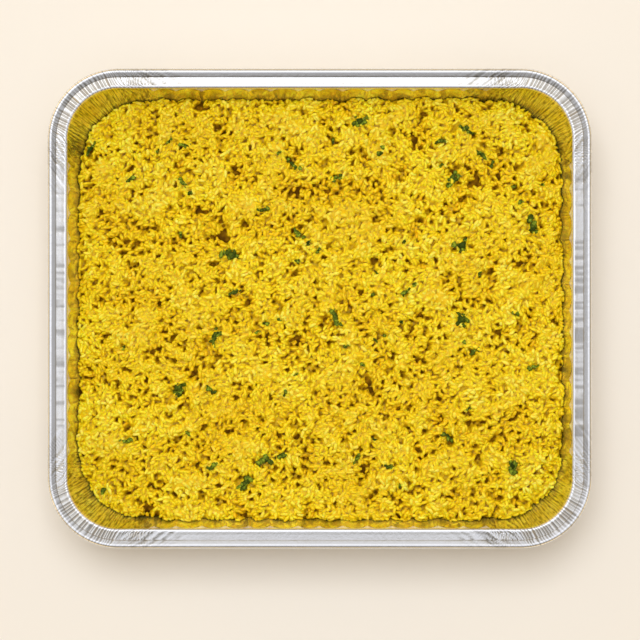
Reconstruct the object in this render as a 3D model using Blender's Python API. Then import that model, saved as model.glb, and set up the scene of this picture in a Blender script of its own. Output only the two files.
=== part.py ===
"""Foil tray of yellow rice with chopped parsley, for Blender 4.5.

Metres, +Z up, +X along the tray's longer side. The origin is the middle of the tray's footprint,
on the surface that the tray stands on. The tray is one pressed sheet of foil: a rolled bead, a
sloping flange, walls with upright flutes, and a flat floor. The rice is one heap that fills it to
below the flange, with small flakes of parsley fused to its top, and larger leaves lie on it.
"""

import math
import random

import bmesh
import bpy
from mathutils import Vector, noise
from mathutils.geometry import delaunay_2d_cdt

# Tray, outside
RIM_LENGTH = 0.325
RIM_WIDTH = 0.2865
RIM_CORNER_RADIUS = 0.0425
TRAY_HEIGHT = 0.060
FOIL = 0.0004

# Rim, measured inwards from its outer edge and downwards from its top
BEAD_RADIUS = 0.0018
BEAD_STEPS = 6
BEAD_FIRST_ANGLE = math.radians(150)
BEAD_LAST_ANGLE = math.radians(-150)
GROOVE_INSET = 0.0054
GROOVE_DROP = 0.0010
RIM_BREADTH = 0.0102
EDGE_ROUND = 0.0010
EDGE_HALFWAY = 1 - math.sqrt(0.5)

# Walls and floor
WALL_DRAFT = math.radians(15.4)
FLOOR_ROUND = 0.0030
FLOOR_ROUND_BREADTH = 0.0024
FLOOR_CORNER_RADIUS = 0.046
FLAT_WITHIN = math.radians(0.6)
FOIL_SMOOTH_DEGREES = 35

# Flutes, which run down the straight part of each wall
FLUTE_PITCH = 0.0142
FLUTES_LONG_SIDE = 14
FLUTES_SHORT_SIDE = 12
FLUTE_DEPTH = 0.0016
FLUTE_TOP_DROP = 0.0042
FLUTE_ARCH = 0.0045
FLUTE_SHOULDER = 0.0035
FLUTE_STEPS = 4
CORNER_STEPS = 12

# Rice
RICE_DROP = 0.0170
RICE_RISE_RIGHT = 0.0012
RICE_RISE_FRONT = 0.0018
RICE_GAP = 0.0008
RICE_SWELL = 0.0011
RICE_SMALL_SWELL = 0.00055
RICE_SWELL_SIZE = 0.060
RICE_SMALL_SWELL_SIZE = 0.024
RICE_SWELL_LAYER = 0.3
RICE_SMALL_SWELL_LAYER = 4.1
RICE_EDGE_SAG = 0.0015
RICE_EDGE_REACH = 0.006
RICE_CORNER_SAG = 0.0055
RICE_CORNER_REACH = 0.050
BUMP_HEIGHT = 0.0010
BUMP_PITCH = 0.0053
BUMP_JITTER = 0.30
BUMP_ROOM_AT_WALL = BUMP_PITCH * 0.75
BUMP_ROOM_AT_LEAF = BUMP_PITCH * 1.2
RICE_SEED = 7
RICE_SMOOTH_DEGREES = 80
SAME_POINT = 1e-6

# Parsley: each leaf is (x, y, length, breadth, turn in degrees), the flakes (x, y, length, turn)
LEAF_THICKNESS = 0.0005
LEAF_WAVE = 0.0005
LEAF_WAVE_ALONG = 900
LEAF_WAVE_ACROSS = 500
LEAF_CLEARANCE = 0.0004
LEAF_POINTS = 12
LEAF_LOBES = 0.20
LEAF_TEETH = 0.10
LEAF_WIDEST = 1.15
LEAF_PHASE_STEP = 1.3
LEAF_SMOOTH_DEGREES = 60
LEAVES = (
    (-0.055, 0.033, 0.0125, 0.0075, -24),
    (-0.034, -0.092, 0.0095, 0.0060, 20),
    (0.025, 0.113, 0.0095, 0.0080, -7),
    (-0.063, -0.016, 0.0110, 0.0060, 60),
    (-0.085, -0.049, 0.0095, 0.0075, 88),
    (0.085, 0.038, 0.0095, 0.0075, 30),
    (0.085, -0.007, 0.0095, 0.0080, -60),
    (0.116, -0.096, 0.0095, 0.0070, -77),
    (0.080, 0.079, 0.0100, 0.0070, 38),
    (0.010, -0.005, 0.0105, 0.0048, -71),
    (-0.046, -0.106, 0.0105, 0.0045, 51),
    (0.128, 0.050, 0.0110, 0.0050, -80),
)
FLAKE_BREADTH = 0.0026
FLAKE_THICKNESS = 0.0030
FLAKE_SIDES = 5
FLAKE_FOOT_RADIUS = 0.5
FLAKE_TOP_RADIUS = 0.38
FLAKE_ROLL = math.radians(6)
FLAKE_PITCH = math.radians(-5)
FLAKES = (
    (-0.024, -0.089, 0.0050, 15),
    (0.010, 0.079, 0.0046, 20),
    (-0.015, 0.086, 0.0060, -35),
    (0.052, 0.010, 0.0050, 42),
    (-0.117, -0.080, 0.0055, 0),
    (0.041, -0.095, 0.0045, -20),
    (-0.066, -0.049, 0.0048, -33),
    (-0.082, 0.099, 0.0052, -10),
    (0.077, -0.077, 0.0055, -37),
    (0.098, 0.093, 0.0048, -34),
    (0.090, 0.107, 0.0060, -32),
    (-0.034, 0.060, 0.0050, -5),
    (0.022, -0.090, 0.0045, 67),
    (-0.013, 0.046, 0.0060, -46),
    (0.073, 0.101, 0.0045, 20),
    (-0.083, 0.076, 0.0042, -54),
    (0.037, 0.095, 0.0042, 56),
    (-0.051, 0.010, 0.0055, 33),
    (-0.065, -0.095, 0.0050, 44),
    (-0.114, 0.078, 0.0040, 20),
    (0.093, -0.026, 0.0045, 35),
    (0.129, -0.035, 0.0040, 18),
)

# Colour, roughness and metallic share of each material
FOIL_LOOK = ((0.80, 0.80, 0.81), 0.28, 1.0)
RICE_LOOK = ((0.76, 0.54, 0.03), 0.45, 0.0)
PARSLEY_LOOK = ((0.035, 0.13, 0.02), 0.55, 0.0)

# Worked out from the sizes above
HALF_LENGTH = RIM_LENGTH / 2
HALF_WIDTH = RIM_WIDTH / 2
SLOPE = math.tan(WALL_DRAFT)
EDGE_Z = TRAY_HEIGHT - EDGE_ROUND
WALL_TOP_INSET = RIM_BREADTH + EDGE_ROUND
FLOOR_Z = FOIL
WALL_FOOT_Z = FLOOR_Z + FLOOR_ROUND
WALL_FOOT_INSET = WALL_TOP_INSET + (EDGE_Z - WALL_FOOT_Z) * SLOPE
FLOOR_INSET = WALL_FOOT_INSET + FLOOR_ROUND_BREADTH
FLUTED_HALF_LENGTH = FLUTE_PITCH * FLUTES_LONG_SIDE / 2
FLUTED_HALF_WIDTH = FLUTE_PITCH * FLUTES_SHORT_SIDE / 2
FLUTE_TOP_Z = TRAY_HEIGHT - FLUTE_TOP_DROP
RICE_LEVEL = TRAY_HEIGHT - RICE_DROP


def clear_scene():
    """Removes every object, so that the scene holds the model alone."""
    for obj in list(bpy.data.objects):
        bpy.data.objects.remove(obj, do_unlink=True)


def material(name, colour, roughness, metallic):
    """A Principled material with one colour and finish."""
    made = bpy.data.materials.new(name)
    made.use_nodes = True
    shader = made.node_tree.nodes["Principled BSDF"]
    shader.inputs["Base Color"].default_value = (*colour, 1.0)
    shader.inputs["Roughness"].default_value = roughness
    shader.inputs["Metallic"].default_value = metallic
    return made


def finished(name, mesh_data, finish, sharp_degrees):
    """Turns a bmesh into a named object with one material, smooth where its faces nearly agree."""
    mesh = bpy.data.meshes.new(name)
    mesh_data.to_mesh(mesh)
    mesh_data.free()
    mesh.shade_smooth()
    mesh.set_sharp_from_angle(angle=math.radians(sharp_degrees))
    mesh.materials.append(finish)
    obj = bpy.data.objects.new(name, mesh)
    bpy.context.collection.objects.link(obj)
    return obj


def corner_radius_at(z):
    """Corner radius of the wall at a height: it grows from the rim down to the floor."""
    share = min(max((EDGE_Z - z) / (EDGE_Z - WALL_FOOT_Z), 0.0), 1.0)
    rim_radius = RIM_CORNER_RADIUS - RIM_BREADTH
    return rim_radius + (FLOOR_CORNER_RADIUS - rim_radius) * share


def quadrant_columns():
    """Where the columns of the outline stand in one quadrant, from the +Y axis to the +X axis.

    Each is (kind, place, flute share): a long or short side's column keeps its distance from the
    middle of that side, and a corner's column its share of the way round the corner. The flute
    share is 0 on the ridge between two flutes and 1 at the middle of a flute.
    """
    columns = []
    shares = [math.sin(math.pi * step / FLUTE_STEPS) for step in range(FLUTE_STEPS)]
    for step in range(FLUTE_STEPS * FLUTES_LONG_SIDE // 2):
        place = step * FLUTE_PITCH / FLUTE_STEPS
        columns.append(("long", place, shares[step % FLUTE_STEPS]))
    for step in range(CORNER_STEPS):
        columns.append(("corner", step / CORNER_STEPS, 0.0))
    for step in range(FLUTE_STEPS * FLUTES_SHORT_SIDE // 2):
        place = FLUTED_HALF_WIDTH - step * FLUTE_PITCH / FLUTE_STEPS
        columns.append(("short", place, shares[step % FLUTE_STEPS]))
    columns.append(("short", 0.0, 0.0))
    return columns


def quadrant_point(kind, place, inset, radius):
    """Point and outward direction of a column on a rounded rectangle, in the +X +Y quadrant."""
    half_x, half_y = HALF_LENGTH - inset, HALF_WIDTH - inset
    centre_x, centre_y = half_x - radius, half_y - radius
    start = math.asin(min(max((FLUTED_HALF_LENGTH - centre_x) / radius, 0.0), 1.0))
    end = math.acos(min(max((FLUTED_HALF_WIDTH - centre_y) / radius, 0.0), 1.0))
    if kind == "long":
        if place <= centre_x:
            return Vector((place, half_y)), Vector((0.0, 1.0))
        angle = math.asin((place - centre_x) / radius)
    elif kind == "short":
        if place <= centre_y:
            return Vector((half_x, place)), Vector((1.0, 0.0))
        angle = math.acos((place - centre_y) / radius)
    else:
        before = max(centre_x - FLUTED_HALF_LENGTH, 0.0)
        around = radius * (end - start)
        after = max(centre_y - FLUTED_HALF_WIDTH, 0.0)
        along = place * (before + around + after)
        if along < before:
            return Vector((FLUTED_HALF_LENGTH + along, half_y)), Vector((0.0, 1.0))
        if along > before + around:
            y = centre_y - (along - before - around)
            return Vector((half_x, y)), Vector((1.0, 0.0))
        angle = start + (along - before) / radius
    outward = Vector((math.sin(angle), math.cos(angle)))
    return Vector((centre_x, centre_y)) + outward * radius, outward


def around_tray(point_of):
    """One closed loop of points round the tray: point_of(column) gives a quadrant's (x, y, z)."""
    quadrant = [point_of(column) for column in quadrant_columns()]
    loop = []
    for sign_x, sign_y, backwards in ((1, 1, False), (1, -1, True), (-1, -1, False), (-1, 1, True)):
        points = quadrant[::-1] if backwards else quadrant
        loop += [Vector((sign_x * p.x, sign_y * p.y, p.z)) for p in points[:-1]]
    return loop


def plain_row(inset, z, radius=None):
    """A loop at one height with no flutes."""
    row_radius = RIM_CORNER_RADIUS - inset if radius is None else radius

    def point_of(column):
        flat, _ = quadrant_point(column[0], column[1], inset, row_radius)
        return flat.to_3d() + Vector((0.0, 0.0, z))

    return around_tray(point_of)


def wall_inset(z):
    """How far the inner face of a ridge lies from the rim's outer edge, at a height."""
    return WALL_TOP_INSET + (EDGE_Z - z) * SLOPE


def wall_point(column, z, offset, depth_share):
    """Point of the wall's face, moved inwards by offset, with its share of the flute's depth."""
    kind, place, flute = column
    flat, outward = quadrant_point(kind, place, wall_inset(z) + offset, corner_radius_at(z))
    flat += outward * (FLUTE_DEPTH * flute * depth_share)
    return flat.to_3d() + Vector((0.0, 0.0, z))


def arch_z(column):
    """Height at which a column's flute begins: each starts in a low arch, highest at its middle."""
    return FLUTE_TOP_Z - FLUTE_ARCH * (1.0 - column[2]) ** 2


def arch_row(offset):
    """The loop where the flutes begin."""
    return around_tray(lambda column: wall_point(column, arch_z(column), offset, 0.0))


def shoulder_row(offset):
    """The loop just below the arches, where the flutes have their full depth."""
    return around_tray(
        lambda column: wall_point(column, arch_z(column) - FLUTE_SHOULDER, offset, 1.0)
    )


def foot_row(z, offset):
    """The loop at the foot of the wall, with the flutes still at full depth."""
    return around_tray(lambda column: wall_point(column, z, offset, 1.0))


def bead_rows():
    """The rolled bead: a round roll of foil from the groove over the outer edge and back under."""
    centre_z = TRAY_HEIGHT - BEAD_RADIUS
    rows = []
    for step in range(BEAD_STEPS + 1):
        angle = BEAD_FIRST_ANGLE + (BEAD_LAST_ANGLE - BEAD_FIRST_ANGLE) * step / BEAD_STEPS
        inset = BEAD_RADIUS - BEAD_RADIUS * math.cos(angle)
        rows.append(plain_row(inset, centre_z + BEAD_RADIUS * math.sin(angle)))
    return rows


def tray_rows():
    """Every loop of the tray's surface, from the middle of its floor out and back underneath."""
    groove_z = TRAY_HEIGHT - GROOVE_DROP
    edge_inset = RIM_BREADTH + EDGE_ROUND * EDGE_HALFWAY
    edge_z = TRAY_HEIGHT - EDGE_ROUND * EDGE_HALFWAY
    inside = [
        plain_row(FLOOR_INSET, FLOOR_Z, FLOOR_CORNER_RADIUS),
        foot_row(WALL_FOOT_Z, 0.0),
        shoulder_row(0.0),
        arch_row(0.0),
        plain_row(WALL_TOP_INSET, EDGE_Z, corner_radius_at(EDGE_Z)),
        plain_row(edge_inset, edge_z),
        plain_row(RIM_BREADTH, TRAY_HEIGHT),
        plain_row(GROOVE_INSET, groove_z),
    ]
    outside = [
        plain_row(GROOVE_INSET, groove_z - FOIL),
        plain_row(RIM_BREADTH, TRAY_HEIGHT - FOIL),
        plain_row(WALL_TOP_INSET - FOIL, EDGE_Z - FOIL / 2, corner_radius_at(EDGE_Z)),
        arch_row(-FOIL),
        shoulder_row(-FOIL),
        foot_row(WALL_FOOT_Z - FOIL / 2, -FOIL),
        plain_row(FLOOR_INSET, 0.0, FLOOR_CORNER_RADIUS),
    ]
    return inside + bead_rows() + outside


def loft(rows):
    """A closed bmesh through loops with the same number of points, capped at both ends."""
    mesh_data = bmesh.new()
    rings = [[mesh_data.verts.new(point) for point in row] for row in rows]
    count = len(rings[0])
    for lower, upper in zip(rings, rings[1:]):
        for i in range(count):
            j = (i + 1) % count
            mesh_data.faces.new((lower[i], lower[j], upper[j], upper[i]))
    mesh_data.faces.new(rings[0][::-1])
    mesh_data.faces.new(rings[-1])
    return mesh_data


def foil_tray():
    """The whole tray, with the points that flat stretches don't need taken out."""
    mesh_data = loft(tray_rows())
    bmesh.ops.dissolve_limit(
        mesh_data,
        angle_limit=FLAT_WITHIN,
        verts=mesh_data.verts,
        edges=mesh_data.edges,
    )
    bmesh.ops.triangulate(mesh_data, faces=mesh_data.faces)
    bmesh.ops.recalc_face_normals(mesh_data, faces=mesh_data.faces)
    return finished("foil_tray", mesh_data, material("foil", *FOIL_LOOK), FOIL_SMOOTH_DEGREES)


def inside_distance(x, y):
    """Distance from a point of the rice's top to the wall, at the rice's level."""
    inset = wall_inset(RICE_LEVEL)
    radius = corner_radius_at(RICE_LEVEL)
    dx = abs(x) - (HALF_LENGTH - inset - radius)
    dy = abs(y) - (HALF_WIDTH - inset - radius)
    return radius - math.hypot(max(dx, 0.0), max(dy, 0.0)) - min(max(dx, dy), 0.0)


def rice_level(x, y):
    """Height of the rice's smooth top: gently uneven, lower at the walls, left, back and corners."""
    lean = RICE_RISE_RIGHT * x / HALF_LENGTH - RICE_RISE_FRONT * y / HALF_WIDTH
    wide = Vector((x / RICE_SWELL_SIZE, y / RICE_SWELL_SIZE, RICE_SWELL_LAYER))
    small = Vector((x / RICE_SMALL_SWELL_SIZE, y / RICE_SMALL_SWELL_SIZE, RICE_SMALL_SWELL_LAYER))
    swell = RICE_SWELL * noise.noise(wide) + RICE_SMALL_SWELL * noise.noise(small)
    sag = RICE_EDGE_SAG * math.exp(-max(inside_distance(x, y), 0.0) / RICE_EDGE_REACH)
    inset = wall_inset(RICE_LEVEL)
    into_x = max(abs(x) - (HALF_LENGTH - inset - RICE_CORNER_REACH), 0.0) / RICE_CORNER_REACH
    into_y = max(abs(y) - (HALF_WIDTH - inset - RICE_CORNER_REACH), 0.0) / RICE_CORNER_REACH
    return RICE_LEVEL + lean + swell - sag - RICE_CORNER_SAG * into_x * into_y


def rice_edge():
    """The loop where the top of the rice meets the wall, on the straight lines of its columns."""
    loop = []
    for high, low in zip(shoulder_row(RICE_GAP), foot_row(WALL_FOOT_Z, RICE_GAP)):
        at_level = low.lerp(high, (RICE_LEVEL - low.z) / (high.z - low.z))
        top_z = rice_level(at_level.x, at_level.y)
        loop.append(low.lerp(high, (top_z - low.z) / (high.z - low.z)))
    return loop


def near_leaf(x, y):
    """True under a leaf and just round it, where no bump may stand up into the leaf."""
    return any(
        math.hypot(x - leaf_x, y - leaf_y) < length / 2 + BUMP_ROOM_AT_LEAF
        for leaf_x, leaf_y, length, _, _ in LEAVES
    )


def bump_points(dice):
    """Points of the rice's top inside its edge, in uneven rows a bump apart, with their heights."""
    points = []
    row_pitch = BUMP_PITCH * math.sqrt(3) / 2
    rows = int(RIM_WIDTH / row_pitch) // 2
    across = int(RIM_LENGTH / BUMP_PITCH) // 2
    for row in range(-rows, rows + 1):
        for place in range(-across, across + 1):
            x = (place + 0.5 * (row % 2) + dice.uniform(-BUMP_JITTER, BUMP_JITTER)) * BUMP_PITCH
            y = row * row_pitch + dice.uniform(-BUMP_JITTER, BUMP_JITTER) * BUMP_PITCH
            up = dice.uniform(-BUMP_HEIGHT, BUMP_HEIGHT)
            if inside_distance(x, y) < BUMP_ROOM_AT_WALL:
                continue
            if near_leaf(x, y):
                up = -abs(up) / 2
            points.append(Vector((x, y, rice_level(x, y) + up)))
    return points


def rice_heap():
    """The rice: its uneven top, cut into triangles, and sides and a base that follow the tray."""
    edge = rice_edge()
    points = edge + bump_points(random.Random(RICE_SEED))
    loop = [(i, (i + 1) % len(edge)) for i in range(len(edge))]
    flat = [point.to_2d() for point in points]
    only_inside = 1
    _, _, triangles, origins, _, _ = delaunay_2d_cdt(flat, loop, [], only_inside, SAME_POINT)
    mesh_data = bmesh.new()
    verts = [mesh_data.verts.new(points[origin[0]]) for origin in origins]
    for triangle in triangles:
        mesh_data.faces.new([verts[i] for i in triangle])
    by_origin = {origin[0]: vert for origin, vert in zip(origins, verts)}
    top_ring = [by_origin[i] for i in range(len(edge))]
    foot_z = WALL_FOOT_Z + RICE_GAP
    foot = [mesh_data.verts.new(p) for p in foot_row(foot_z, RICE_GAP)]
    base_row = plain_row(FLOOR_INSET + RICE_GAP * 2, FLOOR_Z + RICE_GAP, FLOOR_CORNER_RADIUS)
    base = [mesh_data.verts.new(p) for p in base_row]
    for upper, lower in ((top_ring, foot), (foot, base)):
        for i in range(len(edge)):
            j = (i + 1) % len(edge)
            mesh_data.faces.new((upper[i], upper[j], lower[j], lower[i]))
    mesh_data.faces.new(base)
    bmesh.ops.triangulate(mesh_data, faces=[f for f in mesh_data.faces if len(f.verts) > 3])
    bmesh.ops.recalc_face_normals(mesh_data, faces=mesh_data.faces)
    return finished("rice", mesh_data, material("yellow_rice", *RICE_LOOK), RICE_SMOOTH_DEGREES)


def flake_body(x, y, length, turn):
    """A small chopped flake of parsley, half sunk in the rice: a low block with few sides."""
    mesh_data = bmesh.new()
    bmesh.ops.create_cone(
        mesh_data,
        cap_ends=True,
        segments=FLAKE_SIDES,
        radius1=FLAKE_FOOT_RADIUS,
        radius2=FLAKE_TOP_RADIUS,
        depth=1.0,
    )
    bmesh.ops.scale(
        mesh_data, vec=(length, FLAKE_BREADTH, FLAKE_THICKNESS), verts=mesh_data.verts
    )
    mesh = bpy.data.meshes.new("flake")
    mesh_data.to_mesh(mesh)
    mesh_data.free()
    obj = bpy.data.objects.new("flake", mesh)
    obj.location = (x, y, rice_level(x, y))
    obj.rotation_euler = (FLAKE_ROLL, FLAKE_PITCH, math.radians(turn))
    return obj


def fuse_flakes(rice):
    """Joins the small flakes to the rice, so that both are one solid."""
    flakes = bpy.data.collections.new("flakes")
    bpy.context.scene.collection.children.link(flakes)
    for flake in FLAKES:
        flakes.objects.link(flake_body(*flake))
    union = rice.modifiers.new("flakes", "BOOLEAN")
    union.operation = "UNION"
    union.operand_type = "COLLECTION"
    union.collection = flakes
    union.solver = "MANIFOLD"
    graph = bpy.context.evaluated_depsgraph_get()
    joined = bpy.data.meshes.new_from_object(rice.evaluated_get(graph))
    rice.modifiers.clear()
    rice.data = joined
    for obj in list(flakes.objects):
        bpy.data.objects.remove(obj, do_unlink=True)
    bpy.data.collections.remove(flakes)


def leaf_outline(length, breadth, phase):
    """Points round a chopped leaf: an oval with three lobes and an uneven edge."""
    points = []
    for step in range(LEAF_POINTS):
        angle = 2 * math.pi * step / LEAF_POINTS
        lobes = LEAF_LOBES * math.sin(3 * angle + phase)
        teeth = LEAF_TEETH * math.sin(5 * angle + 2 * phase)
        reach = (1 + lobes + teeth) / LEAF_WIDEST / 2
        x = length * reach * math.cos(angle)
        y = breadth * reach * math.sin(angle)
        points.append(Vector((x, y)))
    return points


def parsley_leaf(name, finish, x, y, length, breadth, turn, phase):
    """A thin wavy leaf that lies on the rice, both of its faces cut into triangles alike."""
    turned = math.radians(turn)
    flat = [Vector((0.0, 0.0))] + leaf_outline(length, breadth, phase)
    mesh_data = bmesh.new()
    sheets = []
    for lift in (0.0, LEAF_THICKNESS):
        sheet = []
        for point in flat:
            px = x + point.x * math.cos(turned) - point.y * math.sin(turned)
            py = y + point.x * math.sin(turned) + point.y * math.cos(turned)
            ripple = math.sin(LEAF_WAVE_ALONG * point.x + LEAF_WAVE_ACROSS * point.y + phase)
            wave = LEAF_WAVE * (1 + ripple)
            z = rice_level(px, py) + LEAF_CLEARANCE + wave + lift
            sheet.append(mesh_data.verts.new((px, py, z)))
        sheets.append(sheet)
    under, over = sheets
    for i in range(1, LEAF_POINTS + 1):
        j = i % LEAF_POINTS + 1
        mesh_data.faces.new((over[0], over[i], over[j]))
        mesh_data.faces.new((under[0], under[j], under[i]))
        mesh_data.faces.new((under[i], under[j], over[j], over[i]))
    bmesh.ops.recalc_face_normals(mesh_data, faces=mesh_data.faces)
    return finished(name, mesh_data, finish, LEAF_SMOOTH_DEGREES)


def parsley_leaves():
    """The larger leaves, one object each."""
    green = material("parsley", *PARSLEY_LOOK)
    for number, (x, y, length, breadth, turn) in enumerate(LEAVES, start=1):
        name = f"parsley_leaf_{number:02d}"
        phase = LEAF_PHASE_STEP * number
        parsley_leaf(name, green, x, y, length, breadth, turn, phase)


def main():
    """Builds the tray, the rice with its flakes, and the leaves."""
    clear_scene()
    foil_tray()
    rice = rice_heap()
    fuse_flakes(rice)
    parsley_leaves()


main()
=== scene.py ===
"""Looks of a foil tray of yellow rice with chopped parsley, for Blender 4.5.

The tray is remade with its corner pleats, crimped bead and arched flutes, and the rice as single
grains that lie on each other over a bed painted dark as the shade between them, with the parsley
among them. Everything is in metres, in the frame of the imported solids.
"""

import logging
import math
import random
from dataclasses import dataclass, field
from enum import Enum

import bmesh
import bpy
import numpy as np
from mathutils import Matrix, Vector, noise

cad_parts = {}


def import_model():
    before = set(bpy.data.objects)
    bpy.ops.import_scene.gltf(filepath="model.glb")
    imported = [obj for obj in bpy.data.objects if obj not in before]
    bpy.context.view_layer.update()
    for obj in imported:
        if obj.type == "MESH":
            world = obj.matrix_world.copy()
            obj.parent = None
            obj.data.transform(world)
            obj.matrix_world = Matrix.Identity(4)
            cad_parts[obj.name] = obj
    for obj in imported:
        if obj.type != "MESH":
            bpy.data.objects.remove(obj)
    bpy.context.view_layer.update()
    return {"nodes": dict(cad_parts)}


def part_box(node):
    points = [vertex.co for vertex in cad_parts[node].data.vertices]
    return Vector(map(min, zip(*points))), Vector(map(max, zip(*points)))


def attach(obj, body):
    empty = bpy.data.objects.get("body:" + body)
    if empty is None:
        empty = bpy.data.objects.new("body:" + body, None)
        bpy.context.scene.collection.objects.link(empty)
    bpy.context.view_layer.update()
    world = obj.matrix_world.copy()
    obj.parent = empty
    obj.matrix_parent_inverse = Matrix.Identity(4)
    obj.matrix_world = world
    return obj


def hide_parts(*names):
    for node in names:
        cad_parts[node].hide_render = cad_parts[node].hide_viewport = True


LOG = logging.getLogger("foil_tray_meal")

PHOTO_WIDTH_PX = 640.0
RIM_WIDTH_PX = 545.5
TRAY_CENTRE_PX = (319.75, 308.5)

GRAINS_UNDER_LEAVES = 14500
GRAINS_IN_ALL = 19000

BODY = "root"
TRAY_NODE = "foil_tray"
RICE_NODE = "rice"
LEAF_NODE = "parsley_leaf_{:02d}"
LEAF_COUNT = 12


class Slot(Enum):
    """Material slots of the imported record."""

    FOIL = "foil"
    RICE = "yellow_rice"
    PARSLEY = "parsley"


class Side(Enum):
    """The stretches of the tray's outline."""

    LONG = 0
    CORNER = 1
    SHORT = 2


Colour = tuple[float, float, float]
Value = bpy.types.NodeSocket | float | Colour


class Nodes:
    """Fills the node tree of one material or of the world."""

    def __init__(self, owner: bpy.types.Material | bpy.types.World) -> None:
        """Opens the owner's tree."""
        owner.use_nodes = True
        self.owner = owner
        self.tree = owner.node_tree

    @classmethod
    def of_material(cls, name: str) -> "Nodes":
        """Opens the tree of a new material with a Principled shader."""
        return cls(bpy.data.materials.new(name))

    def join(self, value: Value, socket: bpy.types.NodeSocket) -> None:
        """Links an output to a socket, or sets the socket to a number or colour."""
        if isinstance(value, bpy.types.NodeSocket):
            self.tree.links.new(value, socket)
        elif socket.type == "RGBA":
            socket.default_value = (*value, 1.0)
        else:
            socket.default_value = value

    def feed(self, node: bpy.types.Node, **values: Value) -> None:
        """Fills a node's sockets by name, with _ for each space."""
        for name, value in values.items():
            self.join(value, node.inputs[name.replace("_", " ")])

    def add(self, kind: str, **values: Value | str) -> bpy.types.Node:
        """Adds a node, and sets its properties or fills its sockets.

        Args:
            kind: the node's type name, without the ShaderNode in front.
            values: what each property or socket gets, by name.

        Returns:
            The new node.
        """
        node = self.tree.nodes.new("ShaderNode" + kind)
        for name, value in values.items():
            if node.inputs.get(name.replace("_", " ")) is None:
                setattr(node, name, value)
            else:
                self.feed(node, **{name: value})
        return node

    def shade(self, **values: Value) -> bpy.types.Material:
        """Fills the shader's sockets and hands over the finished material."""
        self.feed(self.tree.nodes["Principled BSDF"], **values)
        return self.owner

    def math(self, operation: str, *values: Value) -> bpy.types.NodeSocket:
        """Works out a formula of outputs and numbers."""
        made = self.add("Math", operation=operation)
        for value, socket in zip(values, made.inputs):
            self.join(value, socket)
        return made.outputs["Value"]

    def read(self, attribute: str) -> bpy.types.NodeSocket:
        """A number that the mesh carries."""
        return self.add("Attribute", attribute_name=attribute).outputs["Fac"]

    def object_place(self, scale: tuple[float, float, float] = (1, 1, 1)) -> bpy.types.NodeSocket:
        """Object coordinates, stretched along each axis."""
        place = self.add("TexCoord").outputs["Object"]
        return self.add("Mapping", Scale=scale, Vector=place).outputs["Vector"]

    def noise(
        self, place: bpy.types.NodeSocket, scale: float, detail: float = 2.0, rough: float = 0.5
    ) -> bpy.types.NodeSocket:
        """A noise texture's value at a place.

        Args:
            place: the coordinates to read.
            scale: features per metre.
            detail: octaves.
            rough: how much the finer octaves count.

        Returns:
            The noise's value, about 0.3 to 0.7.
        """
        made = self.add("TexNoise", Vector=place, Scale=scale, Detail=detail, Roughness=rough)
        return made.outputs["Fac"]

    def ramp(
        self, value: bpy.types.NodeSocket, stops: tuple[tuple[float, Colour], ...]
    ) -> bpy.types.NodeSocket:
        """Colours a value by a ramp.

        Args:
            value: what the ramp reads.
            stops: pairs of position and linear colour.

        Returns:
            The colour.
        """
        made = self.add("ValToRGB", Fac=value)
        elements = made.color_ramp.elements
        for index, (position, colour) in enumerate(stops):
            element = elements[index] if index < 2 else elements.new(position)
            element.position = position
            element.color = (*colour, 1.0)
        return made.outputs["Color"]

    def spread(
        self,
        value: bpy.types.NodeSocket,
        span: tuple[float, float],
        result: tuple[float, float],
        way: str = "LINEAR",
    ) -> bpy.types.NodeSocket:
        """Maps a span of values to another.

        Args:
            value: what is mapped.
            span: the values at the span's ends.
            result: what they become.
            way: the kind of interpolation.

        Returns:
            The mapped value, kept between the results.
        """
        ends = zip(("From_Min", "From_Max", "To_Min", "To_Max"), (*span, *result))
        made = self.add("MapRange", interpolation_type=way, Value=value, **dict(ends))
        return made.outputs["Result"]

    def bump(
        self,
        height: bpy.types.NodeSocket,
        distance: float,
        strength: float = 1.0,
        below: bpy.types.NodeSocket | None = None,
    ) -> bpy.types.NodeSocket:
        """A bump on top of another.

        Args:
            height: the relief.
            distance: its depth in metres at strength 1.
            strength: its share.
            below: the normal it stands on, if any.

        Returns:
            The normal.
        """
        made = self.add("Bump", Distance=distance, Strength=strength, Height=height)
        if below is not None:
            self.feed(made, Normal=below)
        return made.outputs["Normal"]

    def mix(
        self, share: bpy.types.NodeSocket, first: Value, second: Value, way: str = "MIX"
    ) -> bpy.types.NodeSocket:
        """Mixes two colours.

        Args:
            share: how much of the second.
            first: the first colour, an output or a linear colour.
            second: the second colour.
            way: the blend type.

        Returns:
            The mixed colour.
        """
        made = self.add("Mix", data_type="RGBA", blend_type=way)
        for place, value in ((0, share), (6, first), (7, second)):
            self.join(value, made.inputs[place])
        return made.outputs[2]


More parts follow.
